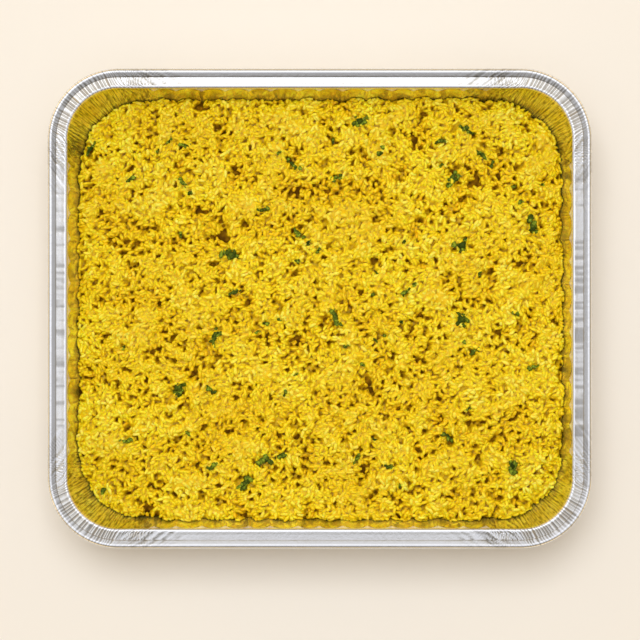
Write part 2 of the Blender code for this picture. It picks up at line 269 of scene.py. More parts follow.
@dataclass(frozen=True)
class FoilFinish:
    """Bright rolled aluminium foil, yellowed where the stain attribute says so, partly by a turmeric
    stain and partly by a painted reflection of the rice, and darkened by painted shade in its creases and
    on the strip.
    """

    silver: Colour = (0.88, 0.89, 0.925)
    # The yellow is partly a turmeric stain and partly a painted reflection of the rice in the wall.
    stained: Colour = (0.94, 0.89, 0.20)
    stained_deep: Colour = (0.84, 0.74, 0.07)
    # Painted shade: the colour that the foil goes towards where the crease attribute says so.
    creased: Colour = (0.29, 0.275, 0.25)
    film: float = 0.26
    cusp_film: float = 0.70
    roughness: tuple[float, float] = (0.10, 0.20)
    patches: float = 90.0
    dull_spots: float = 60.0
    crinkles: float = 420.0
    crinkle_depth: float = 0.00006
    rolling_lines: tuple[float, float, float] = (60, 2600, 2600)
    rolling_depth: float = 0.00001

    def material(self) -> bpy.types.Material:
        """Builds the foil's material."""
        nodes = Nodes.of_material("bright_foil")
        place = nodes.object_place()
        # Yellow where the stain attribute says so: partly turmeric stain, partly painted reflection of
        # the rice.
        stain_and_reflection = nodes.read(FoilTray.STAIN)
        patches = nodes.spread(nodes.noise(place, self.patches, 3), (0.35, 0.65), (0.0, 1.0))
        yellow = nodes.mix(patches, self.stained, self.stained_deep)
        plain = nodes.mix(stain_and_reflection, self.silver, yellow)
        filmed = nodes.spread(stain_and_reflection, (0.0, 1.0), (1.0, 1.0 - self.film))
        dimmed = nodes.spread(nodes.read(FoilTray.CUSP), (0.0, 1.0), (0.0, self.cusp_film))
        crinkle = nodes.bump(nodes.noise(place, self.crinkles, 3, 0.6), self.crinkle_depth)
        rolled = nodes.noise(nodes.object_place(self.rolling_lines), 1, 2)
        # Painted shade darkens the foil's colour in its creases, streaks, ripple bars, strip and wall
        # corners.
        return nodes.shade(
            Base_Color=nodes.mix(nodes.read(FoilTray.CREASE), plain, self.creased, "MULTIPLY"),
            Metallic=nodes.math("SUBTRACT", filmed, dimmed),
            Roughness=nodes.spread(nodes.noise(place, self.dull_spots, 4), (0.3, 0.7), self.roughness),
            Normal=nodes.bump(rolled, self.rolling_depth, 1.0, crinkle),
        )


@dataclass(frozen=True)
class GrainFinish:
    """Cooked rice that turmeric has coloured, each grain a little differently."""

    name: str
    low: Colour
    high: Colour
    patch: Colour = (0.84, 0.56, 0.006)
    # Painted shade in the soft rice's pits and hollows.
    hole: Colour = (0.13, 0.05, 0.001)
    patches: float = 24.0
    roughness: float = 0.36
    gloss: float = 0.36
    subsurface: float = 0.60
    glow_reach: tuple[float, float, float] = (1.0, 0.65, 0.10)
    glow_depth: float = 0.0018
    unevenness: float = 1500.0
    uneven_depth: float = 0.00008

    def material(self) -> bpy.types.Material:
        """Builds the grain's material."""
        nodes = Nodes.of_material(self.name)
        place = nodes.object_place()
        own = nodes.ramp(nodes.read(RiceHeap.TONE), ((0.0, self.low), (1.0, self.high)))
        patches = nodes.spread(nodes.noise(place, self.patches, 3), (0.38, 0.62), (0.0, 0.55))
        shallow = nodes.mix(patches, own, self.patch)
        return nodes.shade(
            # Painted shade where the open attribute says so, in the pits and hollows.
            Base_Color=nodes.mix(nodes.read(RiceHeap.OPEN), shallow, self.hole),
            Roughness=self.roughness,
            Specular_IOR_Level=self.gloss,
            Subsurface_Weight=self.subsurface,
            Subsurface_Radius=self.glow_reach,
            Subsurface_Scale=self.glow_depth,
            Normal=nodes.bump(nodes.noise(place, self.unevenness, 2), self.uneven_depth, 0.6),
        )


@dataclass(frozen=True)
class BedFinish:
    """Painted shade: the heap's depth that shows between the grains, dark brown, lighter in each lump's
    middle as painted light.
    """

    # Painted shade between the lumps, painted light in their middles.
    deep: Colour = (0.08, 0.035, 0.001)
    lit: Colour = (0.30, 0.15, 0.003)
    lumps: float = 380.0
    lump_depth: float = 0.0010
    roughness: float = 0.8
    gloss: float = 0.1

    def material(self) -> bpy.types.Material:
        """Builds the bed's material."""
        nodes = Nodes.of_material("painted_shade_rice")
        place = nodes.object_place()
        lumps = nodes.add("TexVoronoi", feature="SMOOTH_F1", Scale=self.lumps, Vector=place)
        share = nodes.spread(lumps.outputs["Distance"], (0.1, 0.6), (1.0, 0.0))
        return nodes.shade(
            Base_Color=nodes.mix(share, self.deep, self.lit),
            Roughness=self.roughness,
            Specular_IOR_Level=self.gloss,
            Normal=nodes.bump(share, self.lump_depth),
        )


@dataclass(frozen=True)
class ParsleyFinish:
    """Chopped parsley: dark green, lighter in patches and with the tone, which carries painted light on
    each scrap's domed middle, with a soft sheen.
    """

    name: str = "chopped_parsley"
    dark: Colour = (0.018, 0.036, 0.002)
    light: Colour = (0.250, 0.340, 0.022)
    patches: float = 620.0
    roughness: float = 0.55
    gloss: float = 0.16
    veins: float = 1400.0
    vein_depth: float = 0.00025

    def material(self) -> bpy.types.Material:
        """Builds the leaf's material."""
        nodes = Nodes.of_material(self.name)
        place = nodes.object_place()
        patches = nodes.spread(nodes.noise(place, self.patches, 3), (0.38, 0.62), (0.45, 1.4))
        share = nodes.math("MULTIPLY", nodes.read(Parsley.TONE), patches)
        return nodes.shade(
            Base_Color=nodes.mix(share, self.dark, self.light),
            Roughness=self.roughness,
            Specular_IOR_Level=self.gloss,
            Normal=nodes.bump(nodes.noise(place, self.veins, 3), self.vein_depth),
        )


@dataclass(frozen=True)
class FloorFinish:
    """A plain pale cream ground."""

    cream: Colour = (0.820, 0.797, 0.765)

    def material(self) -> bpy.types.Material:
        """Builds the floor's material."""
        nodes = Nodes.of_material("cream_ground")
        return nodes.shade(Base_Color=self.cream, Roughness=0.9, Specular_IOR_Level=0.1)


def smoothstep(value: np.ndarray, start: float, end: float) -> np.ndarray:
    """Rises smoothly from 0 at start to 1 at end."""
    share = np.clip((value - start) / (end - start), 0.0, 1.0)
    return share * share * (3.0 - 2.0 * share)


def noise_at(x: np.ndarray, y: np.ndarray, z: float | np.ndarray = 0.0) -> np.ndarray:
    """Smooth noise between about -1 and 1 at many places.

    Args:
        x: first coordinates, one feature to a unit.
        y: second coordinates.
        z: third coordinates, or one for all.

    Returns:
        The noise's values.
    """
    z = np.broadcast_to(z, x.shape)
    return np.array([noise.noise(Vector(place)) for place in zip(x, y, z)])


def noise_field(xs: np.ndarray, ys: np.ndarray, size: float, z: float) -> np.ndarray:
    """Smooth noise over a grid of places, worked out on a coarser grid.

    Args:
        xs: the grid's places along X, rising.
        ys: its places along Y, rising.
        size: how large the noise's features are.
        z: third coordinate of the noise.

    Returns:
        The noise's values, a row for each y.
    """
    step = size / 5
    coarse_x = np.arange(xs[0], xs[-1] + step, step)
    coarse_y = np.arange(ys[0], ys[-1] + step, step)
    x, y = np.meshgrid(coarse_x / size, coarse_y / size)
    values = noise_at(x.ravel(), y.ravel(), z).reshape(x.shape)
    lines = np.array([np.interp(xs, coarse_x, line) for line in values])
    return np.array([np.interp(ys, coarse_y, column) for column in lines.T]).T


def place_piece(piece: bpy.types.Object, slot: Slot, *nodes: str) -> bpy.types.Object:
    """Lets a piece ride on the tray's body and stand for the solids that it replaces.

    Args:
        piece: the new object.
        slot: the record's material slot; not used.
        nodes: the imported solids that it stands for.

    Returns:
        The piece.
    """
    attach(piece, BODY)
    if nodes:
        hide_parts(*nodes)
    LOG.info("%s: %d faces", piece.name, len(piece.data.polygons))
    return piece


def finished_object(name: str, mesh: bpy.types.Mesh, finish: bpy.types.Material) -> bpy.types.Object:
    """Turns a mesh into a smooth object with one material, linked to the scene."""
    mesh.shade_smooth()
    mesh.materials.append(finish)
    obj = bpy.data.objects.new(name, mesh)
    bpy.context.scene.collection.objects.link(obj)
    return obj


def new_object(name: str, shape: bmesh.types.BMesh, finish: bpy.types.Material) -> bpy.types.Object:
    """Turns a bmesh, which is freed, into a smooth object with one material."""
    mesh = bpy.data.meshes.new(name)
    shape.to_mesh(mesh)
    shape.free()
    return finished_object(name, mesh, finish)


def array_object(
    name: str,
    points: np.ndarray,
    faces: np.ndarray,
    finish: bpy.types.Material,
    **attributes: np.ndarray,
) -> bpy.types.Object:
    """Makes a smooth object from arrays.

    Args:
        name: the object's name.
        points: its vertices.
        faces: the vertices of each face.
        finish: its material.
        attributes: a number for each vertex, by the attribute's name.

    Returns:
        The object, linked to the scene.
    """
    mesh = bpy.data.meshes.new(name)
    mesh.from_pydata(points, [], faces)
    for title, values in attributes.items():
        attribute = mesh.attributes.new(title, "FLOAT", "POINT")
        attribute.data.foreach_set("value", values.astype(np.float32))
    return finished_object(name, mesh, finish)


@dataclass
class TrayForm:
    """Sizes of the pressed tray, nearly those of its solid, and where its walls stand."""

    half_length: float
    half_width: float
    height: float
    corner_radius: float = 0.0425
    groove_inset: float = 0.0054
    groove_drop: float = 0.00096
    rim_breadth: float = 0.0102
    edge_round: float = 0.0010
    draft: float = math.radians(15.4)
    foil: float = 0.0004
    floor_round: float = 0.0030
    floor_corner_radius: float = 0.046
    flute_pitch: float = 0.0142
    flutes_long: int = 14
    flutes_short: int = 12
    flute_depth: float = 0.0016
    flute_wander: float = 0.0008
    flute_top_drop: float = 0.0028
    flute_arch: float = 0.0042
    flute_shoulder: float = 0.0034
    corner_top_drop: float = 0.0006

    @property
    def edge_z(self) -> float:
        """Height at which the wall starts, under the rounded inner edge."""
        return self.height - self.edge_round

    @property
    def wall_foot_z(self) -> float:
        """Height at which the wall turns into the floor."""
        return self.foil + self.floor_round

    @property
    def fluted_half_length(self) -> float:
        """Half of the fluted run of a long side."""
        return self.flute_pitch * self.flutes_long / 2

    @property
    def fluted_half_width(self) -> float:
        """Half of the fluted run of a short side."""
        return self.flute_pitch * self.flutes_short / 2

    @property
    def floor_inset(self) -> float:
        """Inset of the floor's flat from the rim's outer edge."""
        return self.wall_inset(self.wall_foot_z) + 0.8 * self.floor_round

    def wall_inset(self, z: float | np.ndarray) -> float | np.ndarray:
        """Inset of the wall's ridges at a height."""
        return self.rim_breadth + self.edge_round + (self.edge_z - z) * math.tan(self.draft)

    def wall_radius(self, z: float | np.ndarray) -> float | np.ndarray:
        """Corner radius of the wall at a height, which grows downwards."""
        share = np.clip((self.edge_z - z) / (self.edge_z - self.wall_foot_z), 0.0, 1.0)
        rim_radius = self.corner_radius - self.rim_breadth
        return rim_radius + (self.floor_corner_radius - rim_radius) * share

    def flute(self, along: np.ndarray, short: np.ndarray) -> np.ndarray:
        """How deep the flutes are: 0 on a rounded ridge, about 0.9 in a flute's middle.

        The ridges wander a little off their even spacing, as pressed foil does.

        Args:
            along: places along a side, from its middle.
            short: true on the short sides.

        Returns:
            The share of the flutes' depth.
        """
        end = np.where(short, self.fluted_half_width, self.fluted_half_length)
        wander = np.sin(along / 0.0075 + 2.0 * short) + 0.7 * np.sin(along / 0.0049 + 1.0)
        fade = smoothstep(end - np.abs(along), 0.0, self.flute_pitch)
        phase = np.pi * (along + self.flute_wander * wander * fade) / self.flute_pitch
        return (np.sqrt(np.sin(phase) ** 2 + 0.0144) - 0.12) * (np.abs(along) < end)

    def plain_room(
        self, x: np.ndarray, y: np.ndarray, z: float | np.ndarray
    ) -> tuple[np.ndarray, np.ndarray]:
        """Distance from places inside the tray to its wall's ridges.

        Args:
            x: places along the tray.
            y: places across it.
            z: their height.

        Returns:
            The distance, negative outside, and whether a short side is nearest.
        """
        inset, radius = self.wall_inset(z), self.wall_radius(z)
        dx = np.abs(x) - (self.half_length - inset - radius)
        dy = np.abs(y) - (self.half_width - inset - radius)
        past_corner = np.hypot(np.maximum(dx, 0), np.maximum(dy, 0))
        return radius - past_corner - np.minimum(np.maximum(dx, dy), 0), dx > dy

    def room(self, x: np.ndarray, y: np.ndarray, z: float | np.ndarray) -> np.ndarray:
        """Distance from places inside the tray to its fluted wall, negative outside it."""
        plain, short = self.plain_room(x, y, z)
        return plain + self.flute_depth * self.flute(np.where(short, y, x), short)

    def keep_in(self, points: np.ndarray, gap: float) -> np.ndarray:
        """Moves points that come too near the wall, or lie past it, towards the tray's middle.

        Args:
            points: the places, three numbers each.
            gap: how far from the wall they stay.

        Returns:
            The moved places.
        """
        x, y, z = points.T
        push = 1.15 * np.maximum(gap - self.room(x, y, z), 0)
        return np.column_stack([x - push * x / self.half_length, y - push * y / self.half_width, z])


@dataclass
class Columns:
    """Where the upright lines of the tray's surface stand, all the way round.

    Attributes:
        side: the stretch that each column belongs to, as a Side's value.
        place: distance from the side's middle, or share of the way round the corner.
        sign_x: which half of the tray along X.
        sign_y: which half along Y.
    """

    side: np.ndarray
    place: np.ndarray
    sign_x: np.ndarray
    sign_y: np.ndarray

    @classmethod
    def around(cls, form: TrayForm, flute_steps: int, corner_steps: int) -> "Columns":
        """Spaces the columns.

        Args:
            form: the tray's sizes.
            flute_steps: columns in a flute.
            corner_steps: columns in a corner.

        Returns:
            The columns, in order round the tray, the first one not repeated.
        """
        long_steps = np.arange(flute_steps * form.flutes_long // 2)
        short_steps = np.arange(flute_steps * form.flutes_short // 2 + 1)
        step = form.flute_pitch / flute_steps
        side = np.concatenate(
            [
                np.full(len(long_steps), Side.LONG.value),
                np.full(corner_steps, Side.CORNER.value),
                np.full(len(short_steps), Side.SHORT.value),
            ]
        )
        place = np.concatenate(
            [
                long_steps * step,
                np.arange(corner_steps) / corner_steps,
                form.fluted_half_width - short_steps * step,
            ]
        )
        parts = []
        for sign_x, sign_y, backwards in ((1, 1, 0), (1, -1, 1), (-1, -1, 0), (-1, 1, 1)):
            order = np.arange(len(side))[::-1][:-1] if backwards else np.arange(len(side))[:-1]
            signs = np.full(len(order), 1.0)
            parts.append([side[order], place[order], signs * sign_x, signs * sign_y])
        return cls(*(np.concatenate(arrays) for arrays in zip(*parts)))

    @property
    def quadrant(self) -> np.ndarray:
        """A number for each column's quarter of the tray: -3, -1, 1 or 3."""
        return self.sign_x + 2 * self.sign_y

    def flute(self, form: TrayForm) -> np.ndarray:
        """The share of the flutes' depth at each column."""
        short = self.side == Side.SHORT.value
        along = self.place * np.where(short, self.sign_y, self.sign_x)
        return form.flute(along, short) * (self.side != Side.CORNER.value)

    def outline(
        self, form: TrayForm, inset: float | np.ndarray, radius: float | np.ndarray
    ) -> tuple[np.ndarray, np.ndarray]:
        """The columns' places on a rounded rectangle.

        Args:
            form: the tray's sizes.
            inset: how far the rectangle lies inside the rim's outer edge.
            radius: its corner radius.

        Returns:
            The points and the outward directions, two numbers each.
        """
        centre_x = form.half_length - inset - radius
        centre_y = form.half_width - inset - radius
        start = np.arcsin(np.clip((form.fluted_half_length - centre_x) / radius, 0, 1))
        end = np.arccos(np.clip((form.fluted_half_width - centre_y) / radius, 0, 1))
        before = np.maximum(centre_x - form.fluted_half_length, 0)
        after = np.maximum(centre_y - form.fluted_half_width, 0)
        around = radius * (end - start)
        along = self.place * (before + around + after)
        in_corner = start + np.clip(along - before, 0, around) / radius
        on_long = np.arcsin(np.clip((self.place - centre_x) / radius, 0, 1))
        on_short = np.arccos(np.clip((self.place - centre_y) / radius, 0, 1))
        on_side = [self.side == side.value for side in (Side.LONG, Side.CORNER, Side.SHORT)]
        angle = np.select(on_side, [on_long, in_corner, on_short])
        left_x = [np.minimum(self.place - centre_x, 0), np.minimum(along - before, 0)]
        left_y = [np.minimum(before + around - along, 0), np.minimum(self.place - centre_y, 0)]
        short_of_x = np.select(on_side[:2], left_x, 0.0)
        short_of_y = np.select(on_side[1:], left_y, 0.0)
        x = centre_x + radius * np.sin(angle) + short_of_x
        y = centre_y + radius * np.cos(angle) + short_of_y
        points = np.stack([x * self.sign_x, y * self.sign_y], axis=1)
        outward = np.stack([np.sin(angle) * self.sign_x, np.cos(angle) * self.sign_y], axis=1)
        return points, outward


@dataclass
class Row:
    """One loop of the tray's surface.

    Attributes:
        inset: how far in from the rim's outer edge, before flutes.
        z: its height.
        tilt: the surface's slant, 0 where it faces up and 90 degrees where it faces out.
        pleat: height of the corner pleats here.
        ripple: height of the cross ripples here.
        fluted: share of the flutes' depth that this loop may take.
        stain_and_reflection: share of the yellow, partly a turmeric stain and partly a painted reflection
            of the rice.
        dull: how much painted shade the foil has here, besides its creases.
        wall: true where the corner radius is the wall's.
    """

    inset: float
    z: float
    tilt: float = 0.0
    pleat: float = 0.0
    ripple: float = 0.0
    fluted: float = 0.0
    stain_and_reflection: float = 0.0
    dull: float = 0.0
    wall: bool = False


@dataclass
class Loop:
    """The points of one loop, and the numbers by name that its finish reads at each."""

    points: np.ndarray
    finish: dict[str, np.ndarray]


@dataclass
class FoilTray:
    """The pressed foil tray, one sheet with its bead, flange, walls and floor."""

    STAIN = "stain_and_reflection"
    # Painted shade, darkest in the creases.
    CREASE = "crease"
    CUSP = "cusp"
    LIP = (
        (0.01203, 0.00105, 72),
        (0.01195, 0.00076, 62),
        (0.01180, 0.000545, 46),
        (0.01158, 0.000375, 32),
        (0.01130, 0.000245, 21),
        (0.01095, 0.00014, 13),
        (0.01060, 0.000078, 7),
    )
    FLANGE = (
        (0.01025, 0.000055),
        (0.01010, 0.000074),
        (0.00920, 0.00029),
        (0.00810, 0.000484),
        (0.00700, 0.000678),
        (0.00620, 0.000819),
        (0.00546, 0.00095),
    )
    STRIP = (
        (0.00535, 0.00094),
        (0.00495, 0.00080),
        (0.00440, 0.00062),
        (0.00370, 0.00043),
        (0.00290, 0.00018),
    )

    LOWER_WALL = (0.030, 0.041, 0.045, 0.048)
    OUTER_WALL = (0.0580, 0.0555, 0.0530, 0.0480, 0.0410, 0.0300)

    form: TrayForm
    flute_steps: int = 12
    corner_steps: int = 292
    bead_steps: int = 8
    bead_turn: tuple[float, float] = (math.radians(104), math.radians(-150))
    roll_radius: float = 0.0018
    strip_tilt: float = math.radians(-16)
    foot_tilt: float = math.radians(50)
    upper_wall_foot: float = 0.0497
    upper_wall_gap: float = 0.0006
    upper_wall_steps: int = 8
    pleats_per_corner: float = 46.0
    corner_run: float = 0.095
    pleat_lean: float = 2.2
    pleat_round: float = 0.58
    crease_narrow: float = 1.9
    flange_pleat: float = 0.00025
    wall_pleat: float = 0.00028
    lip_swell: float = 0.0008
    lip_fade: float = 0.005
    wall_crease: float = 1.5
    mottle: float = 0.77
    mottle_height: float = 0.0045
    streak_breadth: float = 0.0013
    streak_reach: float = 0.026
    streak_shade: float = 0.35
    crimp: float = 0.00010
    strip_dull: float = 0.60
    ripple: float = 0.00010
    ripple_breadth: float = 0.0024
    ripple_swell: float = 0.0085
    ripple_length: float = 0.020
    ripple_on_left: float = 0.9
    ripple_on_right: float = 1.5
    ripple_level: float = 0.5
    ripple_shade: float = 0.55
    seed: int = 11
    columns: Columns = field(init=False)
    flute: np.ndarray = field(init=False)
    cornered: np.ndarray = field(init=False)

    def __post_init__(self) -> None:
        """Spaces the columns."""
        self.columns = Columns.around(self.form, self.flute_steps, self.corner_steps)
        self.flute = self.columns.flute(self.form)
        place = self.columns.place
        inner = smoothstep(place, 0.0, 0.05) * smoothstep(place, 1.0, 0.95)
        self.cornered = np.where(self.columns.side == Side.CORNER.value, inner, 0.0)

    def bead_rows(self) -> list[Row]:
        """The rolled bead, from the groove over its top and outer side to underneath."""
        form, radius = self.form, self.roll_radius
        rows = []
        for inset, drop in self.STRIP:
            crimp, ripple = self.crimp * 1.5, self.ripple * 0.4
            rows.append(Row(inset, form.height - drop, self.strip_tilt, crimp, ripple))
            # Painted shade on the strip beside the bead.
            rows[-1].dull = self.strip_dull
        start, end = self.bead_turn
        for step in range(self.bead_steps + 1):
            angle = start + (end - start) * step / self.bead_steps
            inset = radius * (1 - math.cos(angle)) + 0.7 * self.crimp
            z = form.height - radius * (1 - math.sin(angle)) - 0.5 * self.crimp
            rows.append(Row(inset, z, math.pi / 2 - angle, self.crimp * 0.5, self.ripple * 0.3))
        return rows

    def flange_rows(self) -> list[Row]:
        """The sloping flange, from its inner edge out to the groove."""
        form = self.form
        profile = self.FLANGE + ((form.groove_inset, form.groove_drop),)
        return [
            Row(inset, form.height - drop, 0.0, pleat=self.flange_pleat, ripple=self.ripple)
            for inset, drop in profile
        ]

    def wall_rows(self) -> list[Row]:
        """The inner wall, from the floor up to the rounded inner edge."""
        form = self.form
        rows = [Row(form.floor_inset, form.foil, wall=True, stain_and_reflection=1.0), self.foot_row(0.0)]
        low, top = self.upper_wall_foot, form.edge_z - self.upper_wall_gap
        steps = self.upper_wall_steps
        heights = [low + (top - low) * step / (steps - 1) for step in range(steps)]
        rows += [self.wall_row(z) for z in (form.wall_foot_z, *self.LOWER_WALL, *heights)]
        for inset, drop, degrees in self.LIP:
            tilt = math.radians(degrees)
            rows.append(Row(inset, form.height - drop, tilt, self.flange_pleat * 0.5))
        return rows

    def foot_row(self, below: float) -> Row:
        """The loop in the round between wall and floor, on the sheet's top or below it."""
        form = self.form
        inset = form.wall_inset(form.wall_foot_z) + 0.2 * form.floor_round - below
        z = form.foil + 0.3 * form.floor_round - below
        return Row(inset, z, self.foot_tilt, fluted=0.6, stain_and_reflection=float(below == 0.0), wall=True)

    def wall_row(self, z: float) -> Row:
        """A loop of the inner wall."""
        edge_z = self.form.edge_z
        fade = float(smoothstep(np.array(z), edge_z, edge_z - 0.004))
        pleat = self.wall_pleat * (0.4 + 0.6 * fade)
        inset = self.form.wall_inset(z) + self.lip_swell * math.exp((z - edge_z) / self.lip_fade)
        upright = math.pi / 2 - self.form.draft
        return Row(inset, z, upright, pleat, self.ripple * 0.5, fluted=1.0, stain_and_reflection=1.0, wall=True)

    def under_rows(self) -> list[Row]:
        """The underside: below the flange, down the outer wall, to the floor's edge."""
        form, pleat = self.form, -self.flange_pleat
        groove_z = form.height - form.groove_drop - form.foil
        rows = [
            Row(form.groove_inset, groove_z, math.pi, pleat),
            Row(form.rim_breadth - 0.0002, form.height - form.foil, math.pi, pleat),
        ]
        for z in (*self.OUTER_WALL, form.wall_foot_z):
            row = self.wall_row(z)
            row.inset -= form.foil
            row.stain_and_reflection = 0.0
            rows.append(row)
        return rows + [self.foot_row(form.foil), Row(form.floor_inset, 0.0, wall=True)]

    def rows(self) -> list[Row]:
        """Every loop of the surface, from the floor's top out and back underneath."""
        return self.wall_rows() + self.flange_rows() + self.bead_rows() + self.under_rows()

    def pleat_wave(self, inset: float) -> tuple[np.ndarray, np.ndarray]:
        """The corner pleats: a wave across the columns, and its strength.

        The pleats run straight out round the corner. Towards the straight sides they lean over,
        so that their inner ends lie further from the corner.

        Args:
            inset: the loop's inset, which moves the leaning pleats along.

        Returns:
            The wave, from -2 at the bottom of a fold to 0, and its strength between 0 and about 1.
        """
        columns = self.columns
        place = columns.place
        in_corner = columns.side == Side.CORNER.value
        quadrant = (columns.quadrant + 3) * 7.3 + self.seed
        lean = self.pleat_lean * (smoothstep(place, 0.30, 0.05) - smoothstep(place, 0.72, 0.95))
        moved = place + lean * (inset - self.form.rim_breadth) / 0.085
        wander = 1.1 * noise_at(moved * 9.0, quadrant) + 0.55 * noise_at(moved * 30.0, quadrant + 1.7)
        phase = 2 * np.pi * (self.pleats_per_corner * moved + wander)
        wave = 2.0 * np.abs(np.sin(phase / 2)) ** self.pleat_round - 2.0
        uneven = 0.80 + 0.90 * noise_at(moved * 31.0, quadrant + 3.1)
        strength = smoothstep(place, -0.04, 0.14) * smoothstep(place, 1.04, 0.84)
        return wave * in_corner, np.clip(uneven, 0.2, 1.4) * strength * in_corner

    def ripple_wave(self, points: np.ndarray, inset: float) -> np.ndarray:
        """Low cross ripples of the straight flanges, stronger on the short sides.

        Args:
            points: the loop's places.
            inset: the loop's inset.

        Returns:
            The ripples, 0 or less.
        """
        short, right = self.columns.side == Side.SHORT.value, points[:, 0] > 0
        along = np.where(short, points[:, 1], points[:, 0])
        across = np.full(len(along), inset / self.ripple_length)
        side = short * 5.0 + right * 3.0
        fine = noise_at(along / self.ripple_breadth, across, 2.0 + side)
        broad = noise_at(along / self.ripple_swell, across, 9.3 + side)
        end = np.where(short, self.form.fluted_half_width, self.form.fluted_half_length)
        near = smoothstep(end - np.abs(along), 0.0, 0.020)
        own = np.select([~short, right], [0.0, self.ripple_on_right], self.ripple_on_left)
        waves = 1.3 * fine + 0.7 * broad - self.ripple_level
        return np.minimum(waves, 0.0) * (0.15 + near * own)

    def streak_wave(self, points: np.ndarray, inset: float) -> np.ndarray:
        """Slanting streaks where the straight runs turn into the corners.

        Args:
            points: the loop's places.
            inset: the loop's inset.

        Returns:
            The streaks, from -2 at the bottom of a fold to 0.
        """
        form, columns = self.form, self.columns
        short = columns.side == Side.SHORT.value
        corner = columns.side == Side.CORNER.value
        by_short = short | (corner & (columns.place > 0.5))
        end = np.where(by_short, form.fluted_half_width, form.fluted_half_length)
        into = np.where(by_short, 1.0 - columns.place, columns.place) * self.corner_run
        straight = np.abs(np.where(short, points[:, 1], points[:, 0])) - end
        run = np.where(corner, into, straight)
        near = smoothstep(run, -self.streak_reach, -0.004) * smoothstep(run, self.streak_reach, 0.008)
        quadrant = columns.quadrant + 9 * by_short
        waves = noise_at((run + 1.3 * inset) / self.streak_breadth, quadrant * 5.3, 3.3)
        return 0.5 * near * (np.clip(2.6 * waves, -1.0, 1.0) - 1.0)

    def mottles(self, z: float) -> np.ndarray:
        """Dark upright marks painted as shade into the corners of the wall.

        Args:
            z: the loop's height.

        Returns:
            The marks' strength at each column, 0 to 1.
        """
        columns = self.columns
        quadrant = columns.quadrant + self.seed
        up = np.full(len(quadrant), z / self.mottle_height)
        marks = noise_at(columns.place * 75.0, up, quadrant * 3.7)
        return np.clip(2.4 * marks - 0.1, 0, 1) * self.cornered

    def loop(self, row: Row) -> Loop:
        """The places of one loop and its finish.

        Args:
            row: the loop.

        Returns:
            The loop.
        """
        form, columns = self.form, self.columns
        radius = form.wall_radius(row.z) if row.wall else form.corner_radius - row.inset
        flat, outward = columns.outline(form, row.inset, radius)
        arch_z = form.height - form.flute_top_drop - form.flute_arch * (1 - self.flute) ** 2
        arch_z = arch_z + (form.height - form.corner_top_drop - arch_z) * self.cornered
        depth = row.fluted * smoothstep(arch_z - row.z, 0.0, form.flute_shoulder)
        flat = flat + outward * (form.flute_depth * depth * self.flute)[:, None]
        wave, strength = self.pleat_wave(row.inset)
        streaks = self.streak_wave(flat, row.inset)
        ripples = self.ripple_wave(flat, row.inset)
        lift = row.pleat * (wave * strength + streaks) + row.ripple * ripples
        # Painted shade: darker in the pleats' creases and along the streaks.
        crease = (-wave / 2) ** self.crease_narrow * strength + self.streak_shade * streaks**2
        # Painted shade on the strip, where the row has it.
        crease = crease + row.dull
        # Painted shade in bars along the flanges' ripples.
        if row.ripple == self.ripple:
            crease = crease + self.ripple_shade * smoothstep(-ripples, 0.5, 1.3)
        if row.wall:
            # Painted shade: stronger on the wall, with upright marks in its corners.
            crease = self.wall_crease * crease + self.mottle * self.mottles(row.z)
        crease = np.clip(crease, 0, 1) * (row.pleat > 0)
        out, up = math.sin(row.tilt), math.cos(row.tilt)
        inwards = -1.0 if row.wall else 1.0
        flat = flat + outward * (inwards * out * lift)[:, None]
        z = row.z + up * lift
        # The yellow, partly stain and partly painted reflection of the rice, fades out around the flutes'
        # arches.
        stain_and_reflection = row.stain_and_reflection * smoothstep(arch_z + 0.0012 - row.z, 0.0, 0.0024)
        if not row.wall:
            stain_and_reflection = np.full(len(z), row.stain_and_reflection)
        cusp = (1 - stain_and_reflection) * (row.wall and row.stain_and_reflection > 0)
        return Loop(np.column_stack([flat, z]), {self.STAIN: stain_and_reflection, self.CREASE: crease, self.CUSP: cusp})

    def build(self, finish: FoilFinish) -> bpy.types.Object:
        """Wraps a grid round the tray's outline and closes its floor.

        Args:
            finish: the foil.

        Returns:
            The tray.
        """
        rows = self.rows()
        count = len(self.columns.place)
        loops = [self.loop(row) for row in rows]
        shape = bmesh.new()
        for name in (self.STAIN, self.CREASE, self.CUSP):
            shape.verts.layers.float.new(name)
        layers = dict(shape.verts.layers.float.items())
        bmesh.ops.create_grid(shape, x_segments=count, y_segments=len(rows) - 1, size=0.5)
        shape.verts.ensure_lookup_table()
        for vert in shape.verts:
            column = round((vert.co.x + 0.5) * count) % count
            row = round((vert.co.y + 0.5) * (len(rows) - 1))
            vert.co = loops[row].points[column]
            for name, values in loops[row].finish.items():
                vert[layers[name]] = values[column]
        bmesh.ops.remove_doubles(shape, verts=shape.verts, dist=1e-6)
        bmesh.ops.holes_fill(shape, edges=[e for e in shape.edges if e.is_boundary], sides=0)
        bmesh.ops.recalc_face_normals(shape, faces=shape.faces)
        lowest = min(vert.co.z for vert in shape.verts)
        for vert in shape.verts:
            vert.co.z = min(max(vert.co.z, 0.0), self.form.height)
        LOG.info("foil reaches down to %.5f", lowest)
        return new_object("foil_sheet", shape, finish.material())


